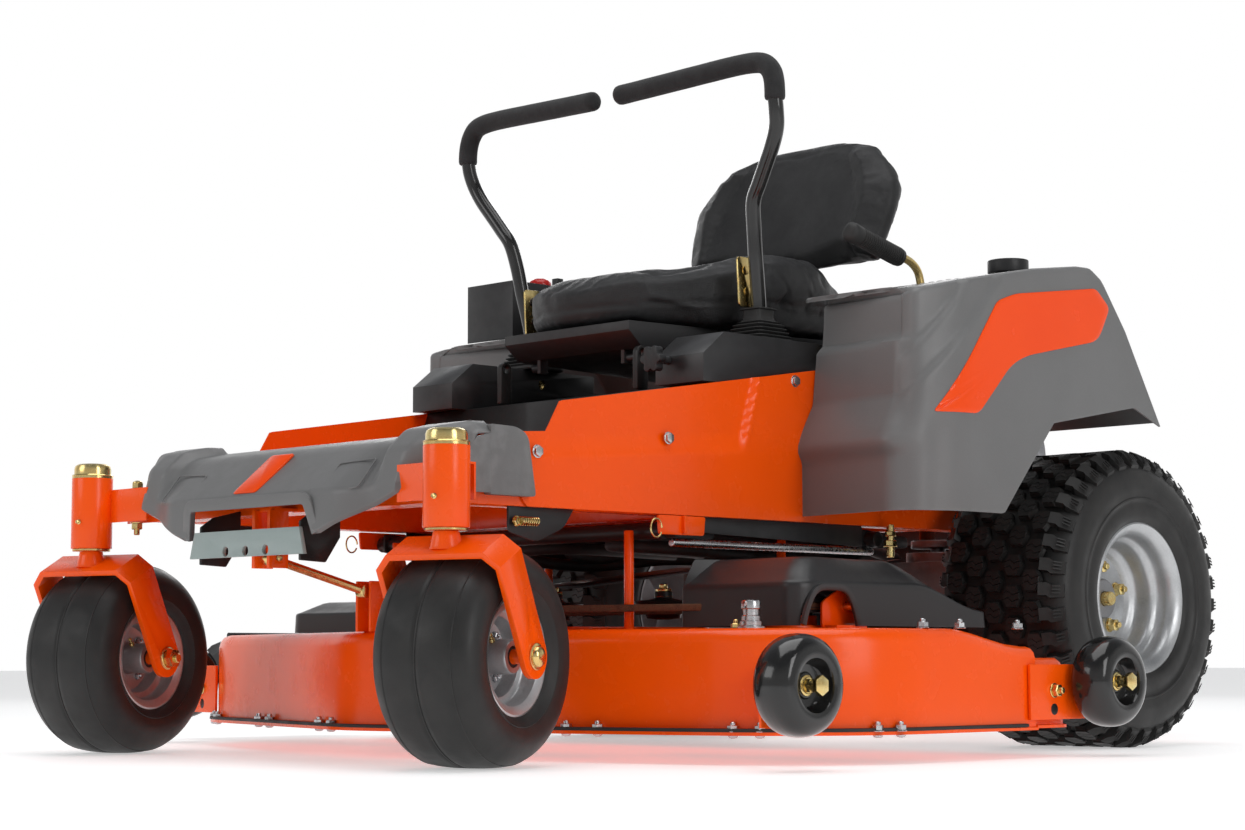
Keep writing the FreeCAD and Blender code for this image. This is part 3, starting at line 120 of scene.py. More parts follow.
def set_stage():
    """A pale paper floor, a sky that greys upwards, and four soft lights."""
    world = bpy.data.worlds.new("studio")
    bpy.context.scene.world = world
    world.use_nodes = True
    tree = world.node_tree
    back = tree.nodes["Background"]
    coords, split, ramp = (tree.nodes.new("ShaderNode" + k) for k in ("TexCoord", "SeparateXYZ", "ValToRGB"))
    tree.links.new(coords.outputs["Generated"], split.inputs[0])
    tree.links.new(split.outputs["Z"], ramp.inputs[0])
    side, fade, dim = (tree.nodes.new("ShaderNode" + k) for k in ("VectorMath", "MapRange", "Mix"))
    side.operation = "DOT_PRODUCT"
    side.inputs[1].default_value = (-0.707, 0.707, 0)
    fade.inputs["From Min"].default_value, fade.inputs["From Max"].default_value = 0.2, 0.75
    fade.inputs["To Min"].default_value, fade.inputs["To Max"].default_value = 0.5, 1.0
    dim.data_type = "RGBA"
    dim.inputs[6].default_value = (0, 0, 0, 1)
    tree.links.new(coords.outputs["Generated"], side.inputs[0])
    tree.links.new(side.outputs["Value"], fade.inputs["Value"])
    tree.links.new(fade.outputs[0], dim.inputs[0])
    tree.links.new(ramp.outputs[0], dim.inputs[7])
    tree.links.new(dim.outputs[2], back.inputs["Color"])
    stops = ramp.color_ramp.elements
    stops[0].position, stops[0].color = 0.33, (1, 1, 1, 1)
    stops[1].position, stops[1].color = 0.66, (0.3, 0.31, 0.33, 1)
    back.inputs["Strength"].default_value = 1.0
    bpy.context.scene.view_settings.view_transform = "Standard"
    mesh = bpy.data.meshes.new("studio_floor")
    mesh.from_pydata([(-30, -30, 0), (30, -30, 0), (30, 30, 0), (-30, 30, 0)], [], [(0, 1, 2, 3)])
    floor = bpy.data.objects.new("studio_floor", mesh)
    bpy.context.scene.collection.objects.link(floor)
    paper = Finish("studio_paper", (0.86, 0.86, 0.86), roughness=0.6)
    paper.mottle(3, (0.84, 0.84, 0.84), 0.5)
    paper.shader.inputs["Emission Color"].default_value = (1, 1, 1, 1)
    paper.shader.inputs["Emission Strength"].default_value = 0.42
    mesh.materials.append(paper.done())
    soft_light("overhead", (0.4, -0.4, 3.4), (0, 0, 0.3), (3.0, 3.0), 60)
    soft_light("near_side", (4.4, -0.6, 1.9), (0.2, -0.2, 0.5), (1.4, 2.4), 40)
    soft_light("front_corner", (-1.4, -4.2, 2.0), (0, -0.5, 0.4), (2.0, 1.6), 22)
    soft_light("back_rim", (-3.2, 3.2, 2.4), (0, 0, 0.6), (2.4, 1.6), 30)


# ---------------------------------------------------------------- finishes
class Finish:
    """A material made up of nodes that all read the piece's own coordinates in metres."""

    def __init__(self, name, colour, roughness=0.5, metallic=0.0, coat=0.0, coat_roughness=0.1, specular=0.5,
                 sheen=0.0):
        self.material = bpy.data.materials.new(name)
        self.material.use_nodes = True
        self.material.diffuse_color = (*colour, 1)
        self.tree = self.material.node_tree
        self.shader = self.tree.nodes["Principled BSDF"]
        fixed = {"Metallic": metallic, "Coat Weight": coat, "Coat Roughness": coat_roughness,
                 "Specular IOR Level": specular, "Sheen Weight": sheen, "Roughness": roughness,
                 "Base Color": (*colour, 1)}
        for socket, value in fixed.items():
            self.shader.inputs[socket].default_value = value
        self.coords = self.add("TexCoord").outputs["Object"]
        self.paint, self.gloss, self.height = None, None, None
        self.colour, self.roughness = colour, roughness

    def add(self, kind, **values):
        node = self.tree.nodes.new("ShaderNode" + kind)
        for key, value in values.items():
            setattr(node, key, value)
        return node

    def feed(self, node, socket, value):
        if hasattr(value, "is_output"):
            self.tree.links.new(value, node.inputs[socket])
        else:
            node.inputs[socket].default_value = value

    def math(self, operation, *values):
        node = self.add("Math", operation=operation)
        for i, value in enumerate(values):
            self.feed(node, i, value)
        return node.outputs[0]

    def cloud(self, scale, detail=2.0, stretch=None):
        """Soft random patches about 1/scale metres across, from 0 to 1."""
        coords = self.coords
        if stretch:
            mapping = self.add("Mapping")
            mapping.inputs["Scale"].default_value = stretch
            self.tree.links.new(coords, mapping.inputs[0])
            coords = mapping.outputs[0]
        node = self.add("TexNoise")
        self.tree.links.new(coords, node.inputs["Vector"])
        node.inputs["Scale"].default_value = scale
        node.inputs["Detail"].default_value = detail
        return node.outputs["Fac"]

    def cells(self, scale, feature="DISTANCE_TO_EDGE"):
        node = self.add("TexVoronoi", feature=feature)
        self.tree.links.new(self.coords, node.inputs["Vector"])
        node.inputs["Scale"].default_value = scale
        return node.outputs["Distance"]

    def spread(self, value, low, high, to_low=0.0, to_high=1.0):
        node = self.add("MapRange")
        for socket, number in zip(("From Min", "From Max", "To Min", "To Max"), (low, high, to_low, to_high)):
            node.inputs[socket].default_value = number
        self.tree.links.new(value, node.inputs["Value"])
        return node.outputs[0]

    def tint(self, factor, colour, amount=1.0):
        """Mixes another colour in where the factor is 1."""
        node = self.add("Mix", data_type="RGBA")
        self.feed(node, 0, self.math("MULTIPLY", factor, amount))
        self.feed(node, 6, self.paint if self.paint else (*self.colour, 1))
        self.feed(node, 7, (*colour, 1))
        self.paint = node.outputs[2]
        return self

    def mottle(self, scale, colour, amount=1.0, detail=3.0, stretch=None):
        return self.tint(self.spread(self.cloud(scale, detail, stretch), 0.38, 0.66), colour, amount)

    def vary_gloss(self, scale, low, high, detail=3.0):
        self.gloss = self.spread(self.cloud(scale, detail), 0.3, 0.7, low, high)
        return self

    def raise_by(self, height, depth):
        """Adds a relief of a depth in metres."""
        part = self.math("MULTIPLY", height, depth)
        self.height = self.math("ADD", self.height, part) if self.height else part
        return self

    def done(self):
        if self.paint:
            self.tree.links.new(self.paint, self.shader.inputs["Base Color"])
        if self.gloss:
            self.tree.links.new(self.gloss, self.shader.inputs["Roughness"])
        if self.height:
            bump = self.add("Bump")
            bump.inputs["Distance"].default_value = 1.0
            bump.inputs["Strength"].default_value = 1.0
            self.tree.links.new(self.height, bump.inputs["Height"])
            self.tree.links.new(bump.outputs[0], self.shader.inputs["Normal"])
        return self.material


def lightened_corners(finish, colour, amount):
    """Lighter patches on corners, where the surface turns most sharply."""
    sharp = finish.spread(finish.add("NewGeometry").outputs["Pointiness"], 0.53, 0.6)
    patchy = finish.math("MULTIPLY", sharp, finish.spread(finish.cloud(60), 0.35, 0.6))
    return finish.tint(patchy, colour, amount)


def powder_coat(name, colour, shade, roughness, coat):
    """Baked powder coat: fine orange peel, a slightly uneven film and a thin gloss."""
    f = Finish(name, colour, roughness=roughness, coat=coat, coat_roughness=0.08, specular=0.28)
    f.mottle(5, shade, 0.5).mottle(420, shade, 0.18)
    f.vary_gloss(30, roughness * 0.85, roughness * 1.25)
    f.raise_by(f.cloud(330, 2), 0.00012).raise_by(f.cloud(1100, 1), 0.00002)
    return lightened_corners(f, tuple(min(1, c * 1.2) for c in colour), 0.2).done()


def moulded_plastic(name, colour, roughness, grain=0.00010, specular=0.4):
    """Injection-moulded plastic with a fine spark-eroded grain."""
    f = Finish(name, colour, roughness=roughness, specular=specular)
    f.mottle(7, tuple(c * 0.86 for c in colour), 0.6).mottle(900, tuple(c * 1.25 for c in colour), 0.25)
    f.vary_gloss(45, roughness * 0.9, roughness * 1.12)
    f.raise_by(f.cloud(750, 2), grain).raise_by(f.cells(520), grain * 0.5)
    return lightened_corners(f, tuple(min(1, c * 1.5 + 0.01) for c in colour), 0.35).done()


def plated(name, colour, second, roughness):
    """Metal with a plated or polished face and faint draw marks."""
    f = Finish(name, colour, roughness=roughness, metallic=1.0)
    f.mottle(38, second, 0.75, stretch=(1, 1, 3)).mottle(300, tuple(c * 0.8 for c in colour), 0.35)
    f.vary_gloss(140, roughness * 0.7, roughness * 1.5)
    return f.raise_by(f.cloud(600, 3), 0.00003).done()


def cast_metal(name, colour, roughness, depth, metallic=0.9):
    """Painted or bare cast metal with a slight grain."""
    f = Finish(name, colour, roughness=roughness, metallic=metallic)
    f.mottle(25, tuple(c * 0.7 for c in colour), 0.6).mottle(400, tuple(c * 1.2 for c in colour), 0.3)
    f.vary_gloss(70, roughness * 0.85, roughness * 1.2)
    return f.raise_by(f.cloud(520, 4), depth).done()


def tyre_rubber():
    """Cured rubber with a bloom of dust and a fine bumpy surface."""
    f = Finish("tyre_rubber", (0.014, 0.014, 0.014), roughness=0.46, specular=0.36)
    f.mottle(9, (0.022, 0.021, 0.02), 0.8).mottle(160, (0.014, 0.014, 0.014), 0.5).mottle(40,
            (0.034, 0.032, 0.03), 0.25)
    f.vary_gloss(22, 0.36, 0.58)
    return f.raise_by(f.cloud(480, 4), 0.00012).raise_by(f.cloud(40, 2), 0.0003).done()


def soft_rubber():
    """Matt moulded rubber."""
    f = Finish("soft_rubber", (0.02, 0.02, 0.02), roughness=0.6, specular=0.35)
    f.mottle(30, (0.036, 0.035, 0.034), 0.7)
    f.vary_gloss(60, 0.5, 0.7)
    return f.raise_by(f.cloud(700, 3), 0.00008).done()


def grip_foam():
    """Closed-cell foam sleeve: matt, with small open pores whose pits are painted darker as painted shade."""
    f = Finish("grip_foam", (0.022, 0.022, 0.023), roughness=0.86, specular=0.25, sheen=0.12)
    pores = f.spread(f.cells(620, "F1"), 0.0, 0.5)
    # painted shade: the colour is darkened at the pore centres, where the bump sinks the pits
    f.tint(f.math("SUBTRACT", 1.0, pores), (0.006, 0.006, 0.006), 0.8).mottle(60, (0.035, 0.035, 0.036), 0.5)
    return f.raise_by(pores, 0.0004).raise_by(f.cloud(220, 3), 0.0004).done()


def seat_vinyl():
    """Expanded vinyl with an embossed leather grain, its grooves painted darker as painted shade."""
    f = Finish("seat_vinyl", (0.010, 0.010, 0.011), roughness=0.4, specular=0.34)
    grain = f.spread(f.cells(430), 0.0, 0.14)
    # painted shade: the colour is darkened along the grain's cell edges, where the bump sinks the grooves
    f.tint(f.math("SUBTRACT", 1.0, grain), (0.006, 0.006, 0.006), 0.7).mottle(14, (0.024, 0.024, 0.025), 0.6)
    f.vary_gloss(50, 0.36, 0.5)
    return f.raise_by(grain, 0.00022).raise_by(f.cloud(260, 3), 0.00015).raise_by(f.cloud(28, 2), 0.0009).done()


def woven_belt():
    """A fabric-faced belt."""
    f = Finish("woven_belt", (0.11, 0.055, 0.028), roughness=0.8, specular=0.3)
    f.mottle(70, (0.05, 0.028, 0.018), 0.8).mottle(700, (0.17, 0.1, 0.06), 0.5)
    return f.raise_by(f.cloud(900, 2), 0.0002).done()


FINISHES = {}


def mix_finishes():
    """Every finish, by name."""
    orange = (1.0, 0.098, 0.0004)
    FINISHES.update({
        "orange_paint": powder_coat("orange_powder_coat", orange, (0.94, 0.082, 0.0004), 0.24, 0.1),
        "black_paint": powder_coat("satin_black_paint", (0.014, 0.014, 0.014), (0.022, 0.022, 0.022), 0.38,
                                   0.1),
        "gloss_black": powder_coat("gloss_black_paint", (0.010, 0.010, 0.010), (0.015, 0.015, 0.015), 0.16,
                                   0.6),
        "grey_plastic": moulded_plastic("fender_grey_plastic", (0.158, 0.158, 0.158), 0.4),
        "dark_plastic": moulded_plastic("dark_grey_plastic", (0.024, 0.024, 0.025), 0.34),
        "black_plastic": moulded_plastic("black_plastic", (0.016, 0.016, 0.017), 0.42),
        "orange_plastic": powder_coat("orange_trim_plastic", (0.96, 0.075, 0.0006), (0.9, 0.062, 0.0005), 0.22,
                                      0.12),
        "red_plastic": powder_coat("red_knob_plastic", (0.5, 0.012, 0.008), (0.4, 0.01, 0.007), 0.22, 0.4),
        "yellow_zinc": plated("yellow_zinc_plate", (0.78, 0.56, 0.22), (0.7, 0.62, 0.3), 0.2),
        "silver_paint": cast_metal("silver_wheel_paint", (0.5, 0.51, 0.52), 0.34, 0.00004, 0.75),
        "bright_steel": plated("bright_steel", (0.6, 0.61, 0.62), (0.5, 0.5, 0.52), 0.24),
        "cast_alloy": cast_metal("cast_alloy", (0.3, 0.3, 0.31), 0.48, 0.0003),
        "step_grey": powder_coat("step_grey_paint", (0.32, 0.38, 0.37), (0.28, 0.34, 0.33), 0.34, 0.1),
        "tyre": tyre_rubber(),
        "rubber": soft_rubber(),
        "foam": grip_foam(),
        "vinyl": seat_vinyl(),
        "belt": woven_belt(),
    })


# ---------------------------------------------------------------- shapes
def ring_frame(axis):
    """Two directions square to an axis."""
    axis = Vector(axis).normalized()
    first = axis.cross(Z if abs(axis.z) < 0.9 else X).normalized()
    return axis, first, axis.cross(first)


def smooth_path(points, per_span=8):
    """A Catmull-Rom line through the points."""
    points = [Vector(p) for p in points]
    ends = [2 * points[0] - points[1]] + points + [2 * points[-1] - points[-2]]
    line = []
    for a, b, c, d in zip(ends, ends[1:], ends[2:], ends[3:]):
        for i in range(per_span):
            t = i / per_span
            square, cube = 2 * a - 5 * b + 4 * c - d, 3 * b - a - 3 * c + d
            line.append(0.5 * (2 * b + (c - a) * t + square * t * t + cube * t ** 3))
    return line + [points[-1]]


def rounded(corners, radius, steps=4, closed=True):
    """A line of corners with each corner cut by a small curve. Radius may be one number or one for each corner."""
    corners = [Vector(c) for c in corners]
    count = len(corners)
    line = []
    for i, corner in enumerate(corners):
        r = radius[i] if isinstance(radius, (list, tuple)) else radius
        if r == 0 or (not closed and i in (0, count - 1)):
            line.append(corner)
            continue
        before, after = corners[i - 1] - corner, corners[(i + 1) % count] - corner
        cut = min(r, before.length * 0.49, after.length * 0.49)
        a, b = corner + before.normalized() * cut, corner + after.normalized() * cut
        for k in range(steps + 1):
            t = k / steps
            line.append(a * (1 - t) ** 2 + 2 * corner * t * (1 - t) + b * t * t)
    return line


class Piece:
    """A piece put together from simple shapes, given in mm of the mower."""

    def __init__(self, name):
        self.name, self.mesh, self.finishes = name, bmesh.new(), []

    def number(self, finish):
        if finish not in self.finishes:
            self.finishes.append(finish)
        return self.finishes.index(finish)

    def skin(self, rows, finish, ring=True, loop=False, ends=False, flat=False):
        """Quads between rows of points. ring closes each row, loop joins the last row to the first, ends fills both."""
        index = self.number(finish)
        grid = [[self.mesh.verts.new(p) for p in row] for row in rows]
        made = []
        pairs = list(zip(grid, grid[1:])) + ([(grid[-1], grid[0])] if loop else [])
        for a, b in pairs:
            for i in range(len(a) if ring else len(a) - 1):
                j = (i + 1) % len(a)
                made.append(self.mesh.faces.new((a[i], a[j], b[j], b[i])))
        if ends:
            made.append(self.mesh.faces.new(grid[0][::-1]))
            made.append(self.mesh.faces.new(grid[-1]))
        for face in made:
            face.material_index, face.smooth = index, not flat
        bmesh.ops.recalc_face_normals(self.mesh, faces=made)
        return made

    def lathe(self, profile, centre, axis, finish, steps=40, closed=False, flat=False):
        """A turned shape: the profile is (radius, distance along the axis). closed joins its end to its start."""
        axis, u, v = ring_frame(axis)
        rows = []
        for radius, along in profile:
            base = Vector(centre) + axis * along
            rows.append([base + (u * math.cos(a) + v * math.sin(a)) * max(radius, 0.01)
                         for a in (2 * math.pi * k / steps for k in range(steps))])
        return self.skin(rows, finish, loop=closed, ends=not closed, flat=flat)

    def rod(self, a, b, radius, finish, steps=24, chamfer=1.0):
        a, b = Vector(a), Vector(b)
        length = (b - a).length
        cut = min(chamfer, radius * 0.4, length * 0.4)
        profile = [(radius - cut, 0), (radius, cut), (radius, length - cut), (radius - cut, length)]
        return self.lathe(profile, a, b - a, finish, steps)

    def bar(self, line, section, finish, up=Z, ends=True):
        """A section, as (across, up) points, carried along a line without twisting."""
        line = [Vector(p) for p in line]
        rows = []
        side = None
        for i, p in enumerate(line):
            ahead = (line[min(i + 1, len(line) - 1)] - line[max(i - 1, 0)]).normalized()
            if side is None:
                side = ahead.cross(Vector(up)).normalized()
            side = (side - ahead * side.dot(ahead)).normalized()
            top = side.cross(ahead)
            rows.append([p + side * s + top * t for s, t in section])
        return self.skin(rows, finish, ends=ends)

    def tube(self, line, radius, finish, steps=16):
        round_section = [(radius * math.cos(a),
                          radius * math.sin(a)) for a in (2 * math.pi * k / steps for k in range(steps))]
        return self.bar(line, round_section, finish)

    def slab(self, outline, direction, thickness, finish, flat=True):
        """A flat outline given in space, made thick along a direction."""
        push = Vector(direction).normalized() * thickness
        return self.skin([[Vector(p) for p in outline], [Vector(p) + push for p in outline]], finish,
                         ends=True, flat=flat)

    def nut(self, centre, axis, across, height, finish, stud=0.0, domed=False):
        """A hexagon nut or bolt head on its washer, with the end of its stud."""
        axis_, u, v = ring_frame(axis)
        centre = Vector(centre)
        self.lathe([(across * 0.62, 0), (across * 0.66, 0.6), (across * 0.62, 1.6)], centre, axis_, finish, 20)
        rows = []
        for r, h in ((0.5, 1.6), (0.577, 2.2), (0.577, height), (0.48, height + 0.9)):
            rows.append([centre + axis_ * h + (u * math.cos(a) + v * math.sin(a)) * across * r
                         for a in (math.pi / 3 * k for k in range(6))])
        self.skin(rows, finish, ends=True, flat=True)
        if stud:
            tip = across * 0.29
            self.lathe([(tip, height), (tip, height + stud - 1), (tip - 1, height + stud)], centre, axis_,
                       finish, 14)
        if domed:
            self.lathe([(across * 0.5, height), (across * 0.46, height + 2), (across * 0.2, height + 4)],
                       centre, axis_, finish, 16)

    def done(self, body, slot, replaces=(), bevel=0.0, subdivide=0, thickness=0.0, offset=0.0, weld=0.0,
             segments=2, angle=32):
        """Ends the piece: puts it in the frame, rounds its edges and hangs it on its body."""
        if weld:
            bmesh.ops.remove_doubles(self.mesh, verts=self.mesh.verts, dist=weld)
            bmesh.ops.recalc_face_normals(self.mesh, faces=self.mesh.faces)
        for vert in self.mesh.verts:
            vert.co = at(vert.co)
        mesh = bpy.data.meshes.new(self.name)
        self.mesh.to_mesh(mesh)
        self.mesh.free()
        piece = bpy.data.objects.new(self.name, mesh)
        bpy.context.scene.collection.objects.link(piece)
        for name in self.finishes:
            mesh.materials.append(FINISHES[name])
        if thickness:
            wall = piece.modifiers.new("wall", "SOLIDIFY")
            wall.thickness, wall.offset = thickness / 1000, offset
        if subdivide:
            smooth = piece.modifiers.new("smooth", "SUBSURF")
            smooth.levels = smooth.render_levels = subdivide
        if bevel:
            edge = piece.modifiers.new("edges", "BEVEL")
            edge.width, edge.segments = bevel / 1000, segments
            edge.limit_method, edge.angle_limit = "ANGLE", math.radians(angle)
            edge.use_clamp_overlap = True
        return settle(piece, body, slot, replaces)


def settle(piece, body, slot, replaces=()):
    """Turns a piece with its modifiers into a plain mesh and hangs it on its body."""
    if piece.modifiers:
        solid = as_built(piece)
        piece.modifiers.clear()
        piece.data = solid
    piece.data.set_sharp_from_angle(angle=SOFT_SHADE)
    for polygon in piece.data.polygons:
        polygon.use_smooth = True
    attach(piece, body)
    if replaces:
        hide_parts(*replaces)
    return piece


def islands(shape):
    """The separate bodies in a mesh, as lists of points."""
    left = set(shape.verts)
    while left:
        start = left.pop()
        group, edge = [start], [start]
        while edge:
            near = [e.other_vert(v) for v in edge for e in v.link_edges]
            edge = [v for v in dict.fromkeys(near) if v in left]
            left.difference_update(edge)
            group += edge
        yield group


def refine(node, slot, bevel=1.2, finish=None, keep=None):
    """A node of the frame whose shape is right: a merged copy with rounded edges and its finish."""
    source = frame["nodes"][node]
    shape = bmesh.new()
    shape.from_mesh(source.data)
    bmesh.ops.remove_doubles(shape, verts=shape.verts, dist=1e-5)
    if keep:
        for group in list(islands(shape)):
            spots = [here(v.co) for v in group]
            low = Vector(map(min, *spots))
            high = Vector(map(max, *spots))
            if not keep(low, high):
                bmesh.ops.delete(shape, geom=group, context="VERTS")
    bmesh.ops.dissolve_limit(shape, angle_limit=math.radians(0.6), verts=shape.verts, edges=shape.edges)
    for face in shape.faces:
        face.material_index = 0
    mesh = bpy.data.meshes.new(node + "_finished")
    shape.to_mesh(mesh)
    shape.free()
    piece = bpy.data.objects.new(node + "_finished", mesh)
    bpy.context.scene.collection.objects.link(piece)
    mesh.materials.append(FINISHES[finish or slot])
    if bevel:
        edge = piece.modifiers.new("edges", "BEVEL")
        edge.width, edge.segments, edge.limit_method, edge.angle_limit = bevel / 1000, 2, "ANGLE", math.radians(38)
    return settle(piece, source["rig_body"], slot, (node,))


# ---------------------------------------------------------------- repeats
def new_tree(name, inputs):
    """An empty geometry tree with its named inputs."""
    tree = bpy.data.node_groups.new(name, "GeometryNodeTree")
    tree.interface.new_socket("Geometry", in_out="INPUT", socket_type="NodeSocketGeometry")
    tree.interface.new_socket("Geometry", in_out="OUTPUT", socket_type="NodeSocketGeometry")
    for label, kind in inputs:
        tree.interface.new_socket(label, in_out="INPUT", socket_type="NodeSocket" + kind)
    return tree, tree.nodes.new("NodeGroupInput"), tree.nodes.new("NodeGroupOutput")


def copies_tree():
    """A copy of a shape on every point, standing along its 'toward' and turned by its 'spin'."""
    tree, start, end = new_tree("copies_on_points", [("Shape", "Object"), ("Size", "Float"),
                                                     ("Finish", "Material")])
    make = lambda kind: tree.nodes.new(kind)
    shape, toward, spin = (make("GeometryNode" + k)
                           for k in ("ObjectInfo", "InputNamedAttribute", "InputNamedAttribute"))
    toward.data_type, spin.data_type = "FLOAT_VECTOR", "FLOAT"
    toward.inputs["Name"].default_value, spin.inputs["Name"].default_value = "toward", "spin"
    shape.transform_space = "ORIGINAL"
    stand, turn = make("FunctionNodeAlignRotationToVector"), make("FunctionNodeRotateRotation")
    stand.axis = "Z"
    turn.rotation_space = "LOCAL"
    about = make("FunctionNodeAxisAngleToRotation")
    about.inputs["Axis"].default_value = (0, 0, 1)
    place, real, paint = (make("GeometryNode" + k) for k in ("InstanceOnPoints", "RealizeInstances", "SetMaterial"))
    wires = [(start.outputs["Geometry"], place.inputs["Points"]), (start.outputs["Shape"], shape.inputs[0]),
             (shape.outputs["Geometry"], place.inputs["Instance"]),
             (toward.outputs["Attribute"], stand.inputs["Vector"]),
             (stand.outputs[0], turn.inputs["Rotation"]), (spin.outputs["Attribute"], about.inputs["Angle"]),
             (about.outputs[0], turn.inputs["Rotate By"]), (turn.outputs[0], place.inputs["Rotation"]),
             (start.outputs["Size"], place.inputs["Scale"]), (place.outputs[0], real.inputs[0]),
             (real.outputs[0], paint.inputs["Geometry"]), (start.outputs["Finish"], paint.inputs["Material"]),
             (paint.outputs[0], end.inputs[0])]
    for a, b in wires:
        tree.links.new(a, b)
    return tree


def ring_tree():
    """Copies of a shape standing round a wheel whose axle is X."""
    tree, start, end = new_tree("copies_round_wheel", [
        ("Shape", "Object"), ("Count", "Int"), ("Radius", "Float"), ("Across", "Float"),
        ("First turn", "Float"),
        ("Lean", "Float"), ("Finish", "Material")])
    make = lambda kind: tree.nodes.new(kind)

    def sum_of(operation, a, b):
        node = make("ShaderNodeMath")
        node.operation = operation
        for i, value in enumerate((a, b)):
            if isinstance(value, (int, float)):
                node.inputs[i].default_value = value
            elif value is not None:
                tree.links.new(value, node.inputs[i])
        return node.outputs[0]

    points, index, shape = make("GeometryNodePoints"), make("GeometryNodeInputIndex"), make("GeometryNodeObjectInfo")
    shape.transform_space = "ORIGINAL"
    tree.links.new(start.outputs["Count"], points.inputs["Count"])
    tree.links.new(start.outputs["Shape"], shape.inputs[0])
    step = sum_of("DIVIDE", 2 * math.pi, start.outputs["Count"])
    angle = sum_of("ADD", sum_of("MULTIPLY", index.outputs[0], step), start.outputs["First turn"])
    radius = start.outputs["Radius"]
    spot, turn = make("ShaderNodeCombineXYZ"), make("ShaderNodeCombineXYZ")
    tree.links.new(start.outputs["Across"], spot.inputs[0])
    tree.links.new(sum_of("MULTIPLY", sum_of("MULTIPLY", sum_of("SINE", angle, None), radius), -1.0),
                   spot.inputs[1])
    tree.links.new(sum_of("MULTIPLY", sum_of("COSINE", angle, None), radius), spot.inputs[2])
    tree.links.new(angle, turn.inputs[0])
    lean = make("ShaderNodeCombineXYZ")
    tree.links.new(start.outputs["Lean"], lean.inputs[1])
    whole, tilt, both = (make("FunctionNode" + k) for k in ("EulerToRotation", "EulerToRotation", "RotateRotation"))
    both.rotation_space = "LOCAL"
    tree.links.new(turn.outputs[0], whole.inputs[0])
    tree.links.new(lean.outputs[0], tilt.inputs[0])
    tree.links.new(whole.outputs[0], both.inputs["Rotation"])
    tree.links.new(tilt.outputs[0], both.inputs["Rotate By"])
    tree.links.new(spot.outputs[0], points.inputs["Position"])
    place, real, paint = (make("GeometryNode" + k) for k in ("InstanceOnPoints", "RealizeInstances", "SetMaterial"))
    for a, b in [(points.outputs[0], place.inputs["Points"]),
                 (shape.outputs["Geometry"], place.inputs["Instance"]),
                 (both.outputs[0], place.inputs["Rotation"]), (place.outputs[0], real.inputs[0]),
                 (real.outputs[0], paint.inputs["Geometry"]),
                 (start.outputs["Finish"], paint.inputs["Material"]),
                 (paint.outputs[0], end.inputs[0])]:
        tree.links.new(a, b)
    return tree


TREES = {}


def grown(mesh, tree, values):
    """A mesh run through a tree, with the tree's inputs set by name, as a plain mesh."""
    host = bpy.data.objects.new("host", mesh)
    bpy.context.scene.collection.objects.link(host)
    modifier = host.modifiers.new("grow", "NODES")
    modifier.node_group = tree
    for item in tree.interface.items_tree:
        if item.in_out == "INPUT" and item.name in values:
            modifier[item.identifier] = values[item.name]
    result = as_built(host)
    bpy.data.objects.remove(host)
    return result


def stamp_shape(build):
    """A small shape, built by a function around the origin in mm with Z out, as a hidden stamp in metres."""
    sketch = Piece("stamp")
    build(sketch)
    for vert in sketch.mesh.verts:
        vert.co = vert.co / 1000
    mesh = bpy.data.meshes.new("stamp")
    sketch.mesh.to_mesh(mesh)
    sketch.mesh.free()
    stamp = bpy.data.objects.new("stamp", mesh)
    bpy.context.scene.collection.objects.link(stamp)
    return stamp


def copies(name, build, places, finish, body, slot, replaces=()):
    """One piece of many copies: places are (point, direction, spin) in mm of the mower."""
    stamp = stamp_shape(build)
    mesh = bpy.data.meshes.new("places")
    mesh.from_pydata([at(p) for p, _, _ in places], [], [])
    mesh.attributes.new("toward", "FLOAT_VECTOR", "POINT")
    mesh.attributes.new("spin", "FLOAT", "POINT")
    toward, spin = mesh.attributes["toward"], mesh.attributes["spin"]
    for i, (_, direction, turn) in enumerate(places):
        toward.data[i].vector = Vector(direction)
        spin.data[i].value = turn
    result = grown(mesh, TREES["copies"], {"Shape": stamp, "Size": 1.0, "Finish": FINISHES[finish]})
    bpy.data.objects.remove(stamp)
    piece = bpy.data.objects.new(name, result)
    bpy.context.scene.collection.objects.link(piece)
    return settle(piece, body, slot, replaces)


def ring_of(build, count, radius, across, finish, first=0.0, lean=0.0):
    """Copies of a small shape round an axle along X at the origin, as a plain mesh in metres."""
    stamp = stamp_shape(build)
    values = {"Shape": stamp, "Count": count, "Radius": radius / 1000, "Across": across / 1000,
              "First turn": first,
              "Lean": lean, "Finish": FINISHES[finish]}
    result = grown(bpy.data.meshes.new("ring"), TREES["ring"], values)
    bpy.data.objects.remove(stamp)
    return result


def carriage_nut(sketch):
    """A nut on the end of its bolt."""
    sketch.nut((0, 0, 0), Z, 13, 8, "bright_steel", stud=5)


def small_screw(sketch):
    """A low domed head."""
    sketch.lathe([(6.5, 0), (6.4, 1.2), (5.2, 2.6), (2.4, 3.4)], (0, 0, 0), Z, "bright_steel", 18)


# ---------------------------------------------------------------- wheels
PIVOT_TRACK, PIVOT_Y = 398, -1234
CASTER_OFFSET, CASTER_Y, CASTER_RADIUS = 19.3, -1170.9, 139.7
CASTER_AXIS = Vector((math.cos(math.radians(17)), math.sin(math.radians(17)), 0))


def mirrored_profile(half):
    """A (radius, across) profile given from the middle outwards, with its other side added."""
    return [(r, -w) for r, w in reversed(half)] + [(r, w) for r, w in half if w > 0]


def curve_profile(half, per_span=4):
    """A smooth profile through (radius, across) points."""
    return [(p.x, p.y) for p in smooth_path([(r, w, 0) for r, w in half], per_span)]


def caster_hub(sign):
    """The middle of a caster wheel."""
    return Vector((sign * PIVOT_TRACK - CASTER_OFFSET, CASTER_Y, CASTER_RADIUS))


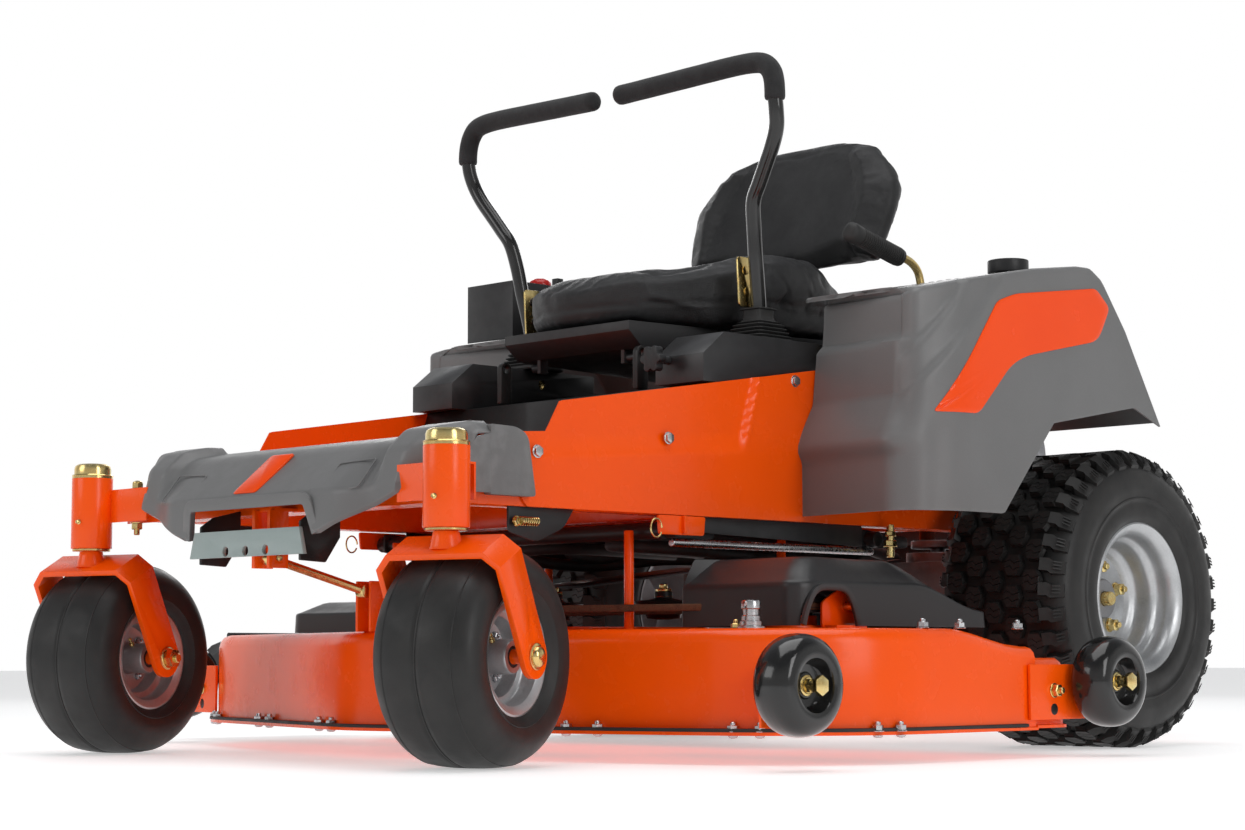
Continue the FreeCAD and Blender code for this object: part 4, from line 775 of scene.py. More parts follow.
def caster_tyre(side):
    """A smooth caster tyre with its mould line."""
    sign = SIDES[side]
    centre = caster_hub(sign)
    tread = curve_profile([(139.6, 3.0), (139.2, 24), (137.2, 44), (132.6, 58), (124, 69), (112, 75),
                           (100, 75.6), (90, 73.6)])
    bead = [(88.6, 72.9), (87.6, 73.6), (86.4, 72.4), (82, 69), (76.5, 65), (75, 62), (64.5, 56), (64, 50)]
    half = [(140.0 - 0.35, 0), (139.65, 0.7), (138.9, 1.2), (139.0, 2.2)] + tread + bead
    tyre = Piece(f"caster_tyre_{side}_moulded")
    tyre.lathe(mirrored_profile(half), centre, CASTER_AXIS, "tyre", 96, closed=True)
    for across in (-50, 50):
        tyre.lathe([(135.0, across - 1.4), (136.3, across - 0.8), (136.2, across + 0.8),
                    (134.4, across + 1.4)], centre,
                   CASTER_AXIS, "tyre", 96, closed=True)
    tyre.done(f"caster_wheel_{side}", "tyre", (f"caster_tyre_{side}",))


def caster_rim(side):
    """A pressed caster rim."""
    sign = SIDES[side]
    centre = caster_hub(sign)
    rim = Piece(f"caster_rim_{side}_pressed")
    outer = [(64.0, 50), (64.5, 55.5), (72.5, 57.5), (75.6, 59.6), (75.4, 62.2), (72.5, 63.2), (67, 61.2),
             (62, 58), (60.6, 50),
             (60, 40), (57.8, 37.5), (51, 36), (49.6, 33), (49.2, 22), (47, 17.5), (42, 15.6), (30, 15.2),
             (24.5, 17), (22.6, 20)]
    profile = [(64, -50)] + outer + [(22.6, -20)] + [(r, -w) for r, w in reversed(outer)][:-1]
    rim.lathe(profile, centre, CASTER_AXIS, "silver_paint", 72, closed=True)
    for end in (-1, 1):
        rim.lathe([(22, end * 14), (22, end * 56), (20.5, end * 58.5), (14, end * 58.5), (13.4, end * 50)],
                  centre, CASTER_AXIS,
                  "silver_paint", 40)
        rim.lathe([(13.2, end * 49), (13.2, end * 57.5), (10, end * 58)], centre, CASTER_AXIS, "rubber", 28)
    _, u, v = ring_frame(CASTER_AXIS)
    for k in range(4):
        turn = math.pi / 4 + k * math.pi / 2
        spot = centre + (u * math.cos(turn) + v * math.sin(turn)) * 36
        rim.nut(spot + CASTER_AXIS * 15.2, CASTER_AXIS, 11, 5, "bright_steel", stud=4)
        rim.nut(spot - CASTER_AXIS * 15.2, -CASTER_AXIS, 11, 4, "bright_steel")
    nipple = centre + (u * 0.5 - v * 0.87).normalized() * 22 + CASTER_AXIS * 34
    out = (u * 0.5 - v * 0.87).normalized()
    rim.lathe([(4, 0), (4, 4), (2.4, 5), (2.4, 8), (3.2, 9.4), (2, 12)], nipple, out, "yellow_zinc", 14)
    rim.done(f"caster_wheel_{side}", "silver_paint", (f"caster_rim_{side}",), angle=40)


def tread_block(sketch):
    """A six-sided block with its top cut by two zigzag sipes."""
    hexagon = [(-17, 0), (-10, 17), (10, 17), (17, 0), (10, -17), (-10, -17)]
    sketch.skin([[(x, y, 0) for x, y in hexagon], [(x * 0.95, y * 0.95, 6.2) for x, y in hexagon]], "tyre",
                ends=True, flat=True)
    zigzag = [(-14.5, 0.0), (-5, 3.4), (2, -2.6), (14.5, 1.0)]
    for low, high, cut in ((-15.2, -5.6, 0.62), (-4.4, 4.0, 1.0), (5.2, 15.2, 0.62)):
        under = [(x * (cut if low < -10 else 1), y + low) for x, y in zigzag]
        over = [(x * (cut if high > 10 else 1), (y if high < 10 else 0) + high) for x, y in reversed(zigzag)]
        under = [(x, low if low < -10 else y) for x, y in under]
        outline = under + over
        sketch.skin([[(x, y, 6.0) for x, y in outline], [(x * 0.97, y, 9.0) for x, y in outline]], "tyre",
                    ends=True, flat=True)


def shoulder_lug(sketch):
    """A lug that wraps over the shoulder, with a zigzag flank and three short sipes."""
    flank = [(-19, -9), (-6, -9), (-1, -13), (19, -11), (19, 9), (2, 7), (-5, 11), (-19, 11)]
    drop = lambda x: 0 if x < 0 else -0.030 * x * x
    sketch.skin([[(x, y, -4 + drop(x)) for x, y in flank],
                 [(x * 0.98, y * 0.94, 8 + drop(x)) for x, y in flank]],
                "tyre", ends=True, flat=True)
    for k in (-5, 0, 5):
        sketch.skin([[(3, k - 1, 7.0), (14, k - 1, 2.6), (14, k + 1.2, 2.6), (3, k + 1.2, 7.0)],
                     [(3, k - 0.8, 9.2), (14, k - 0.8, 3.6), (14, k + 1.0, 3.6), (3, k + 1.0, 9.2)]], "tyre",
                     ends=True, flat=True)


def drive_tyre(side):
    """A drive tyre: carcass, tread blocks and shoulder lugs."""
    sign = SIDES[side]
    centre = Vector((sign * 484.5, 0, 228.5))
    shoulder = curve_profile([(219, 0), (218, 46), (214, 82), (206, 104), (192, 116), (172, 119.6),
                              (158, 118.6)])
    wall = [(155, 118.2), (153.6, 119.4), (151.6, 119.2), (150, 117.2), (146, 116.2)]
    bulge = curve_profile([(146, 116.2), (134, 117.4), (124, 116.4), (117, 112.6)])[1:]
    bead = [(114, 110.2), (111, 110.4), (109, 107), (102.2, 103), (102, 90)]
    tyre = Piece(f"drive_tyre_{side}_carcass")
    tyre.lathe(mirrored_profile(shoulder + wall + bulge + bead), centre, X, "tyre", 128, closed=True)
    tread = bmesh.new()
    rows = [(tread_block, 30, 219.2, w, (k % 2) * 0.5, 0.0) for k, w in enumerate((-70, -35, 0, 35, 70))]
    rows += [(shoulder_lug, 38, 214.0, 98, 0.25, math.radians(24))]
    for build, count, radius, across, first, lean in rows:
        ring = ring_of(build, count, radius, across, "tyre", first * 2 * math.pi / count, lean)
        tread.from_mesh(ring)
    lugs = ring_of(shoulder_lug, 38, 214.0, 98, "tyre", 0.25 * 2 * math.pi / 38, math.radians(24))
    lugs.transform(Matrix.Rotation(math.pi, 4, "Z"))
    tread.from_mesh(lugs)
    for vert in tread.verts:
        vert.co = vert.co * 1000 + centre
    for face in tread.faces:
        face.material_index = 0
    mesh = bpy.data.meshes.new("tread")
    tread.to_mesh(mesh)
    tread.free()
    tyre.mesh.from_mesh(mesh)
    tyre.done(f"drive_wheel_{side}", "tyre", (f"drive_tyre_{side}",))


def drive_rim(side):
    """A pressed drive rim with its lug nuts, hub and valve."""
    sign = SIDES[side]
    centre = Vector((sign * 484.5, 0, 228.5))
    out = X * sign
    rim = Piece(f"drive_rim_{side}_pressed")
    front = [(102, 96), (102.4, 103.5), (112.6, 105.4), (116.4, 108.2), (116.6, 111.4), (113.6, 113),
             (108.6, 111.2), (103.2, 106.6),
             (98.8, 102), (97.6, 92), (96.8, 82), (93.6, 77.6), (88.4, 75), (86, 70), (85.2, 60), (83.8, 50),
             (80.6, 45.4),
             (75, 43.6), (72, 40), (68, 35.4), (60, 34), (36, 34), (32, 36.4), (31, 40)]
    back = [(31, 28), (70, 28), (78, 30), (82.2, 24), (83, -40), (86, -70), (96, -82), (98, -100), (104, -106),
            (113, -110),
            (116.4, -108), (112.4, -105), (102.4, -103), (102, -96), (90, -72), (87, -40), (87, 60), (90, 72),
            (99, 80)]
    rim.lathe(front + back, centre, out, "silver_paint", 96, closed=True)
    rim.lathe([(31, 26), (31, 44), (29, 46.4), (12, 46.4), (11, 44), (6, 44)], centre, out, "cast_alloy", 48)
    rim.lathe([(11, 44), (11, 58), (9.6, 60)], centre, out, "yellow_zinc", 24)
    for k in range(5):
        turn = math.radians(90 + 72 * k)
        spot = centre + (Y * math.cos(turn) + Z * math.sin(turn)) * 50 + out * 34
        rim.nut(spot, out, 17, 13, "yellow_zinc", stud=7)
    rim.done(f"drive_wheel_{side}", "silver_paint", (f"drive_rim_{side}",), angle=40)
    stem_dir = Vector((sign * 0.93, -0.28, -0.22)).normalized()
    stem = Piece(f"valve_stem_{side}")
    base = centre + out * 62 + (Y * -0.45 + Z * -0.9).normalized() * 84
    stem.lathe([(7, -4), (6.6, 4), (4.6, 8), (4.2, 24), (4.8, 25), (4.8, 33), (3.4, 35)], base, stem_dir,
               "rubber", 18)
    stem.done(f"drive_wheel_{side}", "rubber")


def gauge_wheel(name):
    """A moulded deck wheel with its bolt."""
    low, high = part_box("gauge_wheel_" + name)
    centre = here((low + high) / 2)
    out = X if centre.x > 0 else -X
    wheel = Piece(f"gauge_wheel_{name}_moulded")
    dome = curve_profile([(63.4, 0), (62.6, 10), (59.2, 20), (52, 27.6), (44, 30.4), (37, 30.6)], 4)
    face = dome + [(33.5, 29.4), (31.6, 26), (29.4, 15), (26, 11.6), (17, 10.6), (15, 12.6), (13, 12.8)]
    back = [(13, -29.8), (26, -29.8), (29, -26), (31, -18), (33, -27), (36, -30.4)] + [(r, -w) for r,
            w in reversed(dome)][1:]
    wheel.lathe(face + back[:-1], centre, out, "gloss_black", 64, closed=True)
    wheel.lathe([(13, 10), (13, 14.5), (10.5, 15.5)], centre, out, "yellow_zinc", 24)
    wheel.nut(centre + out * 15, out, 16, 8, "yellow_zinc", domed=True)
    body = {"front_left": "gauge_front_left", "rear_left": "gauge_rear_left",
            "front_right": "gauge_front_right",
            "rear_right": "gauge_rear_right"}[name]
    wheel.done(body, "gloss_black", ("gauge_wheel_" + name,))


# ---------------------------------------------------------------- bodywork
def between(table, value):
    """Reads a value off a line given as (place, amount) points."""
    for (a, p), (b, q) in zip(table, table[1:]):
        if value <= b:
            return p + (q - p) * max(0.0, (value - a) / (b - a))
    return table[-1][1]


def ease(low, high, value):
    """A smooth step from 0 to 1 between two values."""
    t = min(1.0, max(0.0, (value - low) / (high - low)))
    return t * t * (3 - 2 * t)


FENDER_TOP = [(-515, 660), (-236, 716), (-120, 732), (-89, 733), (-60, 718), (-2, 649), (90, 507)]
FENDER_FOOT = [(-515, 346), (-322, 346), (-195, 486), (-150, 494), (19, 524), (90, 499)]
FRONT_RELIEF = [(340, 0), (424, 0), (440, 9), (449, 9), (466, 2), (512, -22), (592, -26), (600, -37),
                (612, -38), (720, -42)]
SIDE_RELIEF = [(-900, 0), (-2, 0), (4, -7), (50, -11), (57, -20), (300, -21)]
CORNER_X, CORNER_END = 518, 552
INNER_X = 331


def fender_line():
    """The fender's edge from above, from the body round the front corner to the tail, with its way out."""
    corners = [(INNER_X, -482, 0), (CORNER_X, -506, 0), (CORNER_END, -485, 0), (580, -420, 0), (580, 90, 0)]
    dense = []
    bends = rounded(corners, [0, 16, 16, 30, 0], 5, closed=False)
    for a, b in zip(bends, bends[1:]):
        steps = max(1, round((b - a).length / 7))
        dense += [a.lerp(b, k / steps) for k in range(steps)]
    dense.append(bends[-1])
    line = []
    for i, p in enumerate(dense):
        ahead = (dense[min(i + 2, len(dense) - 1)] - dense[max(i - 2, 0)]).normalized()
        line.append((p, Vector((ahead.y, -ahead.x, 0))))
    return line


def fender_point(p, out, z):
    """Where the sculpted skin lies at a height: a belt and a stepped brow in front, a slanting band along the side."""
    front = between(FRONT_RELIEF, z)
    band = between(SIDE_RELIEF, z - (532 + (p.y + 479) * 1.02)) * (1 - ease(-330, -250, p.y))
    side = ease(CORNER_X - 4, CORNER_END + 14, p.x)
    crease = 3.0 * math.exp(-((p.y + 455 - (z - 440) * 0.1) / 14) ** 2) if z < 470 else 0
    relief = front * (1 - side) + (band - crease * 0.4) * side
    inner_lean = -8 * ease(470, 660, z) * (1 - ease(330, 520, p.x))
    return p + out * (relief + inner_lean) + Vector((0, 0, z - p.z))


def fender(side):
    """A moulded fender: the sculpted skin, its brim and its top."""
    sign = SIDES[side]
    flip = lambda v: Vector((v.x * sign, v.y, v.z))
    line = fender_line()
    shell = Piece(f"fender_{side}_moulded")
    heights = 54
    rows = []
    for p, out in line:
        foot, top = between(FENDER_FOOT, p.y), between(FENDER_TOP, p.y) - 7
        rows.append([flip(fender_point(p, out, foot + (top - foot) * k / heights)) for k in range(heights + 1)])
    shell.skin(rows, "grey_plastic", ring=False)
    brim = []
    for i, (p, out) in enumerate(line):
        top = between(FENDER_TOP, p.y)
        edge = fender_point(p, out, top - 7)
        first = -470
        t = i / (len(line) - 1)
        inner_y = first + (90 - first) * max(0.0, (t - 0.2) / 0.8)
        inner = Vector((INNER_X, max(inner_y, edge.y) if p.y > -420 else inner_y, 0))
        row = [flip(edge), flip(edge - out * 2.4 + Vector((0, 0, 4.6))),
               flip(edge - out * 8 + Vector((0, 0, 7)))]
        start = edge - out * 8
        for k in range(1, 11):
            q = start.lerp(Vector((inner.x, inner.y, start.z)), k / 10)
            row.append(flip(Vector((q.x, q.y, between(FENDER_TOP, q.y) + (edge.z + 7 - top) * (1 - k / 10)))))
        brim.append(row)
    shell.skin(brim, "grey_plastic", ring=False)
    shell.done("chassis", "grey_plastic", (f"fender_{side}",), weld=0.4, thickness=3.4, offset=-1.0)


INSERT = [(-462, 487), (-381, 488), (-301, 565), (-261, 582), (-76, 620), (-44, 674), (-80, 701), (-287, 672),
          (-331, 657)]


def trim_inserts():
    """A slanting coloured insert on each fender."""
    line = [(p, out) for p, out in fender_line() if p.y > -486 and p.x > CORNER_END - 4]

    def on_skin(y, z, proud):
        p, out = min(line, key=lambda item: abs(item[0].y - y))
        q = fender_point(Vector((p.x, y, 0)), out, z)
        return q + out * proud
    for side, sign in SIDES.items():
        insert = Piece(f"fender_insert_{side}")
        corners = rounded([(0, y, z) for y, z in INSERT], [6, 10, 30, 20, 22, 10, 10, 16, 10], 5)
        outline = []
        for a, b in zip(corners, corners[1:] + corners[:1]):
            steps = max(1, round((b - a).length / 8))
            outline += [a.lerp(b, k / steps) for k in range(steps)]
        middle = sum(outline, Vector()) / len(outline)
        rings = []
        for scale, proud in ((1.0, -0.6), (1.0, 0.9), (0.985, 1.6), (0.93, 1.7), (0.8, 1.7), (0.6, 1.7),
                             (0.4, 1.7), (0.2, 1.7), (0.02, 1.7)):
            ring = []
            for p in outline:
                q = middle.lerp(p, scale)
                spot = on_skin(q.y, q.z, proud)
                ring.append(Vector((spot.x * sign, spot.y, spot.z)))
            rings.append(ring)
        insert.skin(rings, "orange_plastic", ends=True)
        insert.done("chassis", "orange_plastic", ("trim_inserts",))


PANEL_TOP = [(-1113, 433), (-994, 441), (-968, 484), (-442, 567)]
PANEL_FOOT = [(-1113, 431), (-1040, 342), (-1039, 338), (-442, 338)]
BEND_TOP, BEND_FOOT = (-579, 544), (-612, 437)


def side_panels():
    """Pressed side panels with a long crease, a recess above it and a step where the recess ends."""
    panels = Piece("side_panels_pressed")
    columns, heights = 130, 40
    for sign in (1, -1):
        rows = []
        for i in range(columns + 1):
            y = -1113 + (1113 - 442) * i / columns
            foot, top = between(PANEL_FOOT, y), between(PANEL_TOP, y)
            row = []
            for k in range(heights + 1):
                z = foot + (top - foot) * k / heights
                crease = 402 + (y + 1035) * 42 / 550
                bend = BEND_FOOT[0] + (z - BEND_FOOT[1]) * (BEND_TOP[0] - BEND_FOOT[0]) / (BEND_TOP[1] - BEND_FOOT[1])
                inside = ease(-3, 5, bend - y) * min(1.0, max(0.0, (z - crease) / 26)) ** 0.7
                edge = 3 * math.exp(-((bend - y + 4) / 5) ** 2) * (1 if z > crease + 10 else 0)
                row.append((sign * (330.2 - 7.5 * inside + edge * 0.35), y, z))
            rows.append(row)
        panels.skin(rows, "orange_paint", ring=False)
    panels.done("chassis", "orange_paint", ("side_panels",), thickness=2.6, offset=0)


def floor_pan():
    """The floor and seat deck, kept clear of the recess in the side panels."""
    piece = refine("floor_pan", "orange_paint", 1.5)
    for vert in piece.data.vertices:
        across = vert.co.x - MID
        if abs(across) > 0.31:
            vert.co.x = MID + math.copysign(0.3185, across)
    piece.data.materials.append(FINISHES["black_paint"])
    for face in piece.data.polygons:
        if here(face.center).z > 425:
            face.material_index = len(piece.data.materials) - 1


# ---------------------------------------------------------------- seat
def plump(piece, pressure, limit):
    """Swells a closed pad with air and keeps every point within a limit of where it began, in mm."""
    remesh = piece.modifiers.new("even", "REMESH")
    remesh.mode, remesh.voxel_size = "VOXEL", 0.006
    even = as_built(piece)
    piece.modifiers.clear()
    piece.data = even
    begin = [v.co.copy() for v in even.vertices]
    cloth = piece.modifiers.new("air", "CLOTH")
    cloth.settings.use_pressure, cloth.settings.uniform_pressure_force = True, pressure
    cloth.settings.effector_weights.gravity = 0
    cloth.settings.tension_stiffness = cloth.settings.compression_stiffness = 40
    cloth.settings.quality = 4
    cloth.point_cache.frame_end = 20
    for step in range(1, 21):
        bpy.context.scene.frame_set(step)
    swollen = as_built(piece)
    piece.modifiers.clear()
    piece.data = swollen
    for vert, start in zip(swollen.vertices, begin):
        moved = vert.co - start
        if moved.length > limit / 1000:
            vert.co = start + moved.normalized() * limit / 1000
    bpy.context.scene.frame_set(1)
    return piece


def block_of(name, counts, shape, finish="vinyl"):
    """A closed box of small quads, each point placed by a function of (-1..1, -1..1, -1..1)."""
    nx, ny, nz = counts
    sketch = Piece(name)
    span = lambda n: [2 * i / n - 1 for i in range(n + 1)]
    for w in (-1, 1):
        sketch.skin([[shape(u, v, w) for u in span(nx)] for v in span(ny)], finish, ring=False)
        sketch.skin([[shape(u, w, v) for u in span(nx)] for v in span(nz)], finish, ring=False)
        sketch.skin([[shape(w, u, v) for u in span(ny)] for v in span(nz)], finish, ring=False)
    bmesh.ops.remove_doubles(sketch.mesh, verts=sketch.mesh.verts, dist=0.05)
    bmesh.ops.recalc_face_normals(sketch.mesh, faces=sketch.mesh.faces)
    return sketch


def squircle(a, b, amount):
    """A square pulled towards a round one."""
    return a * math.sqrt(1 - b * b * amount), b * math.sqrt(1 - a * a * amount)


def cushion_top(x, y):
    """The cushion's upper face: a dished middle, side bolsters towards the back and a rolled front."""
    bolster = 41 * ease(95, 190, abs(x)) * ease(-620, -360, y) * (1 - 0.75 * ease(-300, -170, y))
    return 736 + bolster - 20 * ease(-600, -700, y) - 5 * math.exp(-(x / 120) ** 2) + 6 * ease(-420, -180, y)


def cushion_shape(u, v, w):
    """The cushion, narrower in front, from a box of (-1..1) places."""
    a, b = squircle(u, v, 0.30)
    pull = 1 - 0.035 * abs(w) ** 6 - 0.02 * math.cos(b * math.pi / 2)
    x, y = a * 212 * pull * (1 - 0.34 * ease(-0.25, -1.05,
                                             b)), -415 + b * (262 if b > 0 else 236) * (1 - 0.03 * abs(w) ** 6)
    low, top = 648.5 + 4 * ease(-640, -690, y), cushion_top(x, y) - 6
    soft = 16 * max(abs(u) ** 8, abs(v) ** 8) * max(0, w) ** 2
    return Vector((x, y, low + (top - low) * (w + 1) / 2 - soft))


def cushion_seam(y):
    """How high the seam runs round the cushion."""
    return 668 + (y + 690) * 0.055


BACK_BASE, BACK_LEAN = Vector((0, -118, 759)), math.radians(18)
BACK_UP = Vector((0, math.sin(BACK_LEAN), math.cos(BACK_LEAN)))
BACK_FRONT = Vector((0, -math.cos(BACK_LEAN), math.sin(BACK_LEAN)))


def backrest_shape(u, v, w):
    """Wider below than above, with rounded shoulders, side bolsters and a hollow middle."""
    top_round = 0.36 if v > 0 else 0.16
    a, b = squircle(u, v, top_round)
    half = 224 - 26 * ease(0.1, 1, v) - 6 * abs(w) ** 6
    high = 131 + b * 125 * (1 - 0.03 * abs(w) ** 6)
    bolster = 15 * ease(0.62, 0.92, abs(u)) * (1 - ease(0.7, 1, v)) + 7 * ease(0.72, 0.95, v)
    front = 56 + bolster - 9 * math.exp(-(u / 0.5) ** 2) - 14 * max(abs(u) ** 8, abs(v) ** 8)
    back = 12 + 8 * max(abs(u) ** 6, abs(v) ** 6)
    return BACK_BASE + X * a * half + BACK_UP * high + BACK_FRONT * (back + (front - back) * (w + 1) / 2)


def press(piece, how):
    """Moves every point of a piece by what a function says, given the point and its normal in mm."""
    moves = [how(here(vert.co), vert.normal) for vert in piece.data.vertices]
    for vert, move in zip(piece.data.vertices, moves):
        if move:
            vert.co += vert.normal * move / 1000


def valley(distance, width, depth):
    """A rounded groove, for a seam or a fold."""
    return -depth * math.exp(-(distance / width) ** 2)


def seat():
    """The cushion, the backrest and the pan under them."""
    sketch = block_of("seat_cushion_padded", (56, 66, 16), cushion_shape)
    cushion = sketch.done("seat", "vinyl", ("seat_cushion",))
    plump(cushion, 4.0, 7)

    def cushion_press(p, normal):
        seam = valley(p.z - cushion_seam(p.y), 3.0, 3.4) if abs(normal.z) < 0.75 else 0
        skirt = -2.0 * ease(4, 12, cushion_seam(p.y) - p.z) if abs(normal.z) < 0.75 else 0
        across = abs(p.x) / (1 - 0.34 * ease(-474, -663, p.y))
        fold = valley(max(across - 150, abs(p.y + 410) - 172), 4.0, 3.0) if normal.z > 0.5 else 0
        return seam + skirt + fold
    press(cushion, cushion_press)
    finish_pad(cushion)

    sketch = block_of("seat_backrest_padded", (56, 42, 14), backrest_shape)
    back = sketch.done("seat", "vinyl", ("seat_backrest",))
    plump(back, 4.0, 7)

    def back_press(p, normal):
        away = p - BACK_BASE
        up, out = away.dot(BACK_UP), away.dot(BACK_FRONT)
        facing = normal.dot(BACK_FRONT)
        side = abs(p.x) - (150 - 26 * ease(120, 228, up) + 14 * math.cos(up / 80))
        panel = max(side, up - 226)
        seam = valley(panel, 3.6, 3.8) if facing > 0.4 else 0
        sunk = -2.4 * ease(0, -7, panel) if facing > 0.4 else 0
        edge = valley(out - 22, 3.0, 3.0) if abs(facing) < 0.7 else 0
        return seam + sunk + edge
    press(back, back_press)
    finish_pad(back)
    pan = refine("seat_pan", "black_plastic", 7)
    for vert in pan.data.vertices:
        p = here(vert.co)
        ahead = max(0, -415 - p.y)
        vert.co = at((p.x * (1 - 0.30 * ease(0, 240, ahead)), p.y + 0.13 * ahead, p.z))
    return pan


def finish_pad(piece):
    """One level of smoothing after the seams are pressed in."""
    smooth = piece.modifiers.new("smooth", "SUBSURF")
    smooth.levels = smooth.render_levels = 0 if len(piece.data.polygons) > 40000 else 1
    solid = as_built(piece)
    piece.modifiers.clear()
    piece.data = solid
    for polygon in solid.polygons:
        polygon.use_smooth = True


# ---------------------------------------------------------------- levers
LEVER_X, TUBE_RADIUS = 252, 11.5
LEVER_ROUTE = [(252, -488, 646), (253, -488, 668), (256, -494, 702), (260, -502, 739), (264, -509, 780),
               (271, -518, 820),
               (288, -523, 846), (305, -528, 870), (324, -534, 897), (337, -539, 922), (342, -545, 945),
               (343, -549, 968)]
GRIP_ROUTE = [(343, -549, 960), (343, -549, 974), (341, -548.5, 991), (335, -548, 1006), (322, -548.5, 1018),
              (300, -549, 1023),
              (262, -550, 1024), (200, -553, 1022), (120, -557, 1019), (60, -559.5, 1017), (24, -561, 1016)]


def steering_lever(side):
    """A bent lever with its plated bracket, eye and foam grip."""
    sign = SIDES[side]
    flip = lambda points: [(x * sign, y, z) for x, y, z in points]
    arm = Piece(f"steering_lever_{side}_tube")
    arm.tube(smooth_path(flip(LEVER_ROUTE), 6), TUBE_RADIUS, "gloss_black", 28)
    plate_x = (LEVER_X - TUBE_RADIUS - 5.5) * sign
    outline = rounded([(plate_x, -515, 666), (plate_x, -481, 666), (plate_x, -484, 742), (plate_x, -519, 742)],
                      7, 4)
    arm.slab(outline, X * sign, 3.4, "yellow_zinc")
    for y, z in ((-497, 690), (-501, 722)):
        arm.nut((plate_x, y, z), -X * sign, 11, 6, "gloss_black")
        arm.lathe([(7, 0), (7, 1.4)], (plate_x + 3.4 * sign, y, z), X * sign, "yellow_zinc", 20)
    eye = [(LEVER_X * sign - 8, -495.5), (LEVER_X * sign + 8, -495.5), (LEVER_X * sign + 8, -480.5),
           (LEVER_X * sign - 8, -480.5)]
    pin_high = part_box(f"lever_pivot_{side}")[1]
    pin_z = here(pin_high).z - 9
    arm.skin([[(x, y, pin_z - 2.5) for x, y in eye], [(x, y, pin_z + 44) for x, y in eye]], "gloss_black",
             ends=True, flat=True)
    arm.rod((LEVER_X * sign, -506, pin_z), (LEVER_X * sign, -470, pin_z), 5, "yellow_zinc", 16)
    arm.done(f"lever_arm_{side}", "gloss_black", (f"lever_{side}",), bevel=0.8)
    grip = Piece(f"steering_grip_{side}_foam")
    line = smooth_path(flip(GRIP_ROUTE), 6)
    rows, total = [], len(line) - 1
    reach = [0.0]
    for a, b in zip(line, line[1:]):
        reach.append(reach[-1] + (b - a).length)
    stop = reach[-1]
    side_dir = None
    for i, p in enumerate(line):
        ahead = (line[min(i + 1, total)] - line[max(i - 1, 0)]).normalized()
        side_dir = ahead.cross(Y) if side_dir is None else side_dir - ahead * side_dir.dot(ahead)
        side_dir = side_dir.normalized()
        top = side_dir.cross(ahead)
        stretch = [(0, 1.0)]
        if i == 0:
            stretch = [(0.0, 0.80), (1.5, 0.94), (5, 1.0)]
        if i == total:
            stretch = [(-9, 1.0), (-4.5, 0.95), (-1.5, 0.8), (0, 0.5), (0.4, 0.1)]
        if stop - 9.5 < reach[i] < stop or 0 < reach[i] < 5.5:
            continue
        for along, scale in stretch:
            lumpy = 1 + 0.012 * noise.noise(p * 0.03)
            rows.append([p + ahead * along + (side_dir * math.cos(a) + top * math.sin(a)) * 15.5 * scale * lumpy
                         for a in (2 * math.pi * k / 32 for k in range(32))])
    grip.skin(rows, "foam", ends=True)
    grip.done(f"lever_arm_{side}", "foam")


def square_ring(centre, half, z, corner, steps=6):
    """A ring of points round a square with cut corners."""
    corners = [(centre[0] + half * a, centre[1] + half * b, z) for a, b in ((-1, -1), (1, -1), (1, 1), (-1, 1))]
    return rounded(corners, corner, steps)


def lever_boot(side):
    """A square rubber bellows of four pleats, with a collar round the lever."""
    sign = SIDES[side]
    low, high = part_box("lever_boots")
    base, top = here(low).z + 0.3, here(high).z
    centre = (LEVER_X * sign, -488)
    boot = Piece(f"lever_boot_{side}_bellows")
    rise = top - base
    levels = [(0.0, 40), (0.04, 41), (0.10, 40), (0.13, 36)]
    for k in range(4):
        z, half = 0.13 + k * 0.11, 38.5 - k * 2.6
        levels += [(z + 0.025, half - 1.0), (z + 0.05, half), (z + 0.065, half - 0.4), (z + 0.10, half - 7.5)]
    levels += [(0.60, 26), (0.63, 21), (0.68, 18.5), (0.78, 17.5), (0.94, 18), (0.965, 21.5), (0.99, 21.5),
               (1.0, 20)]
    rings = [square_ring(centre, half, base + rise * t, half * 0.35) for t, half in levels]
    rings += [square_ring(centre, 16.5, base + rise, 5), square_ring(centre, 15.5, base + rise * 0.86, 5),
              square_ring(centre, 13.5, base + rise * 0.72, 5)]
    boot.skin(rings, "rubber")
    piece = boot.done("chassis", "rubber", thickness=0.9, offset=-1.0)
    piece.parent = None
    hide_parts("lever_boots")
    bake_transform(piece)
    return piece


# ---------------------------------------------------------------- nose, casters and small fittings
def cover_section(x):
    """The front cover's section at one distance from the middle: lower edge, crease, slope, brow and back."""
    a = abs(x)
    front = -1246 + 22 * ease(176, 256, a) + 60 * max(0, a - 285) / 60
    foot = 344 - 42 * ease(132, 142, a) + 0.36 * max(0, a - 152)
    bulge = ease(232, 250, a)
    fall = 16 * ease(322, 345, a) ** 2
    points = [(front + 6, foot), (front, foot + 4), (front + 1, 358 + 4 * bulge),
              (max(-1181 - 26 * bulge, front + 8), 418 - 8 * bulge - fall),
              (max(-1168 - 8 * bulge, front + 24), 425 + 12 * bulge - fall), (-1136, 432 + 14 * bulge - fall),
              (-1110, 437 + 10 * bulge - fall)]
    return rounded([(x, y, z) for y, z in points], [0, 2, 7, 9, 9, 6, 0], 4, closed=False)


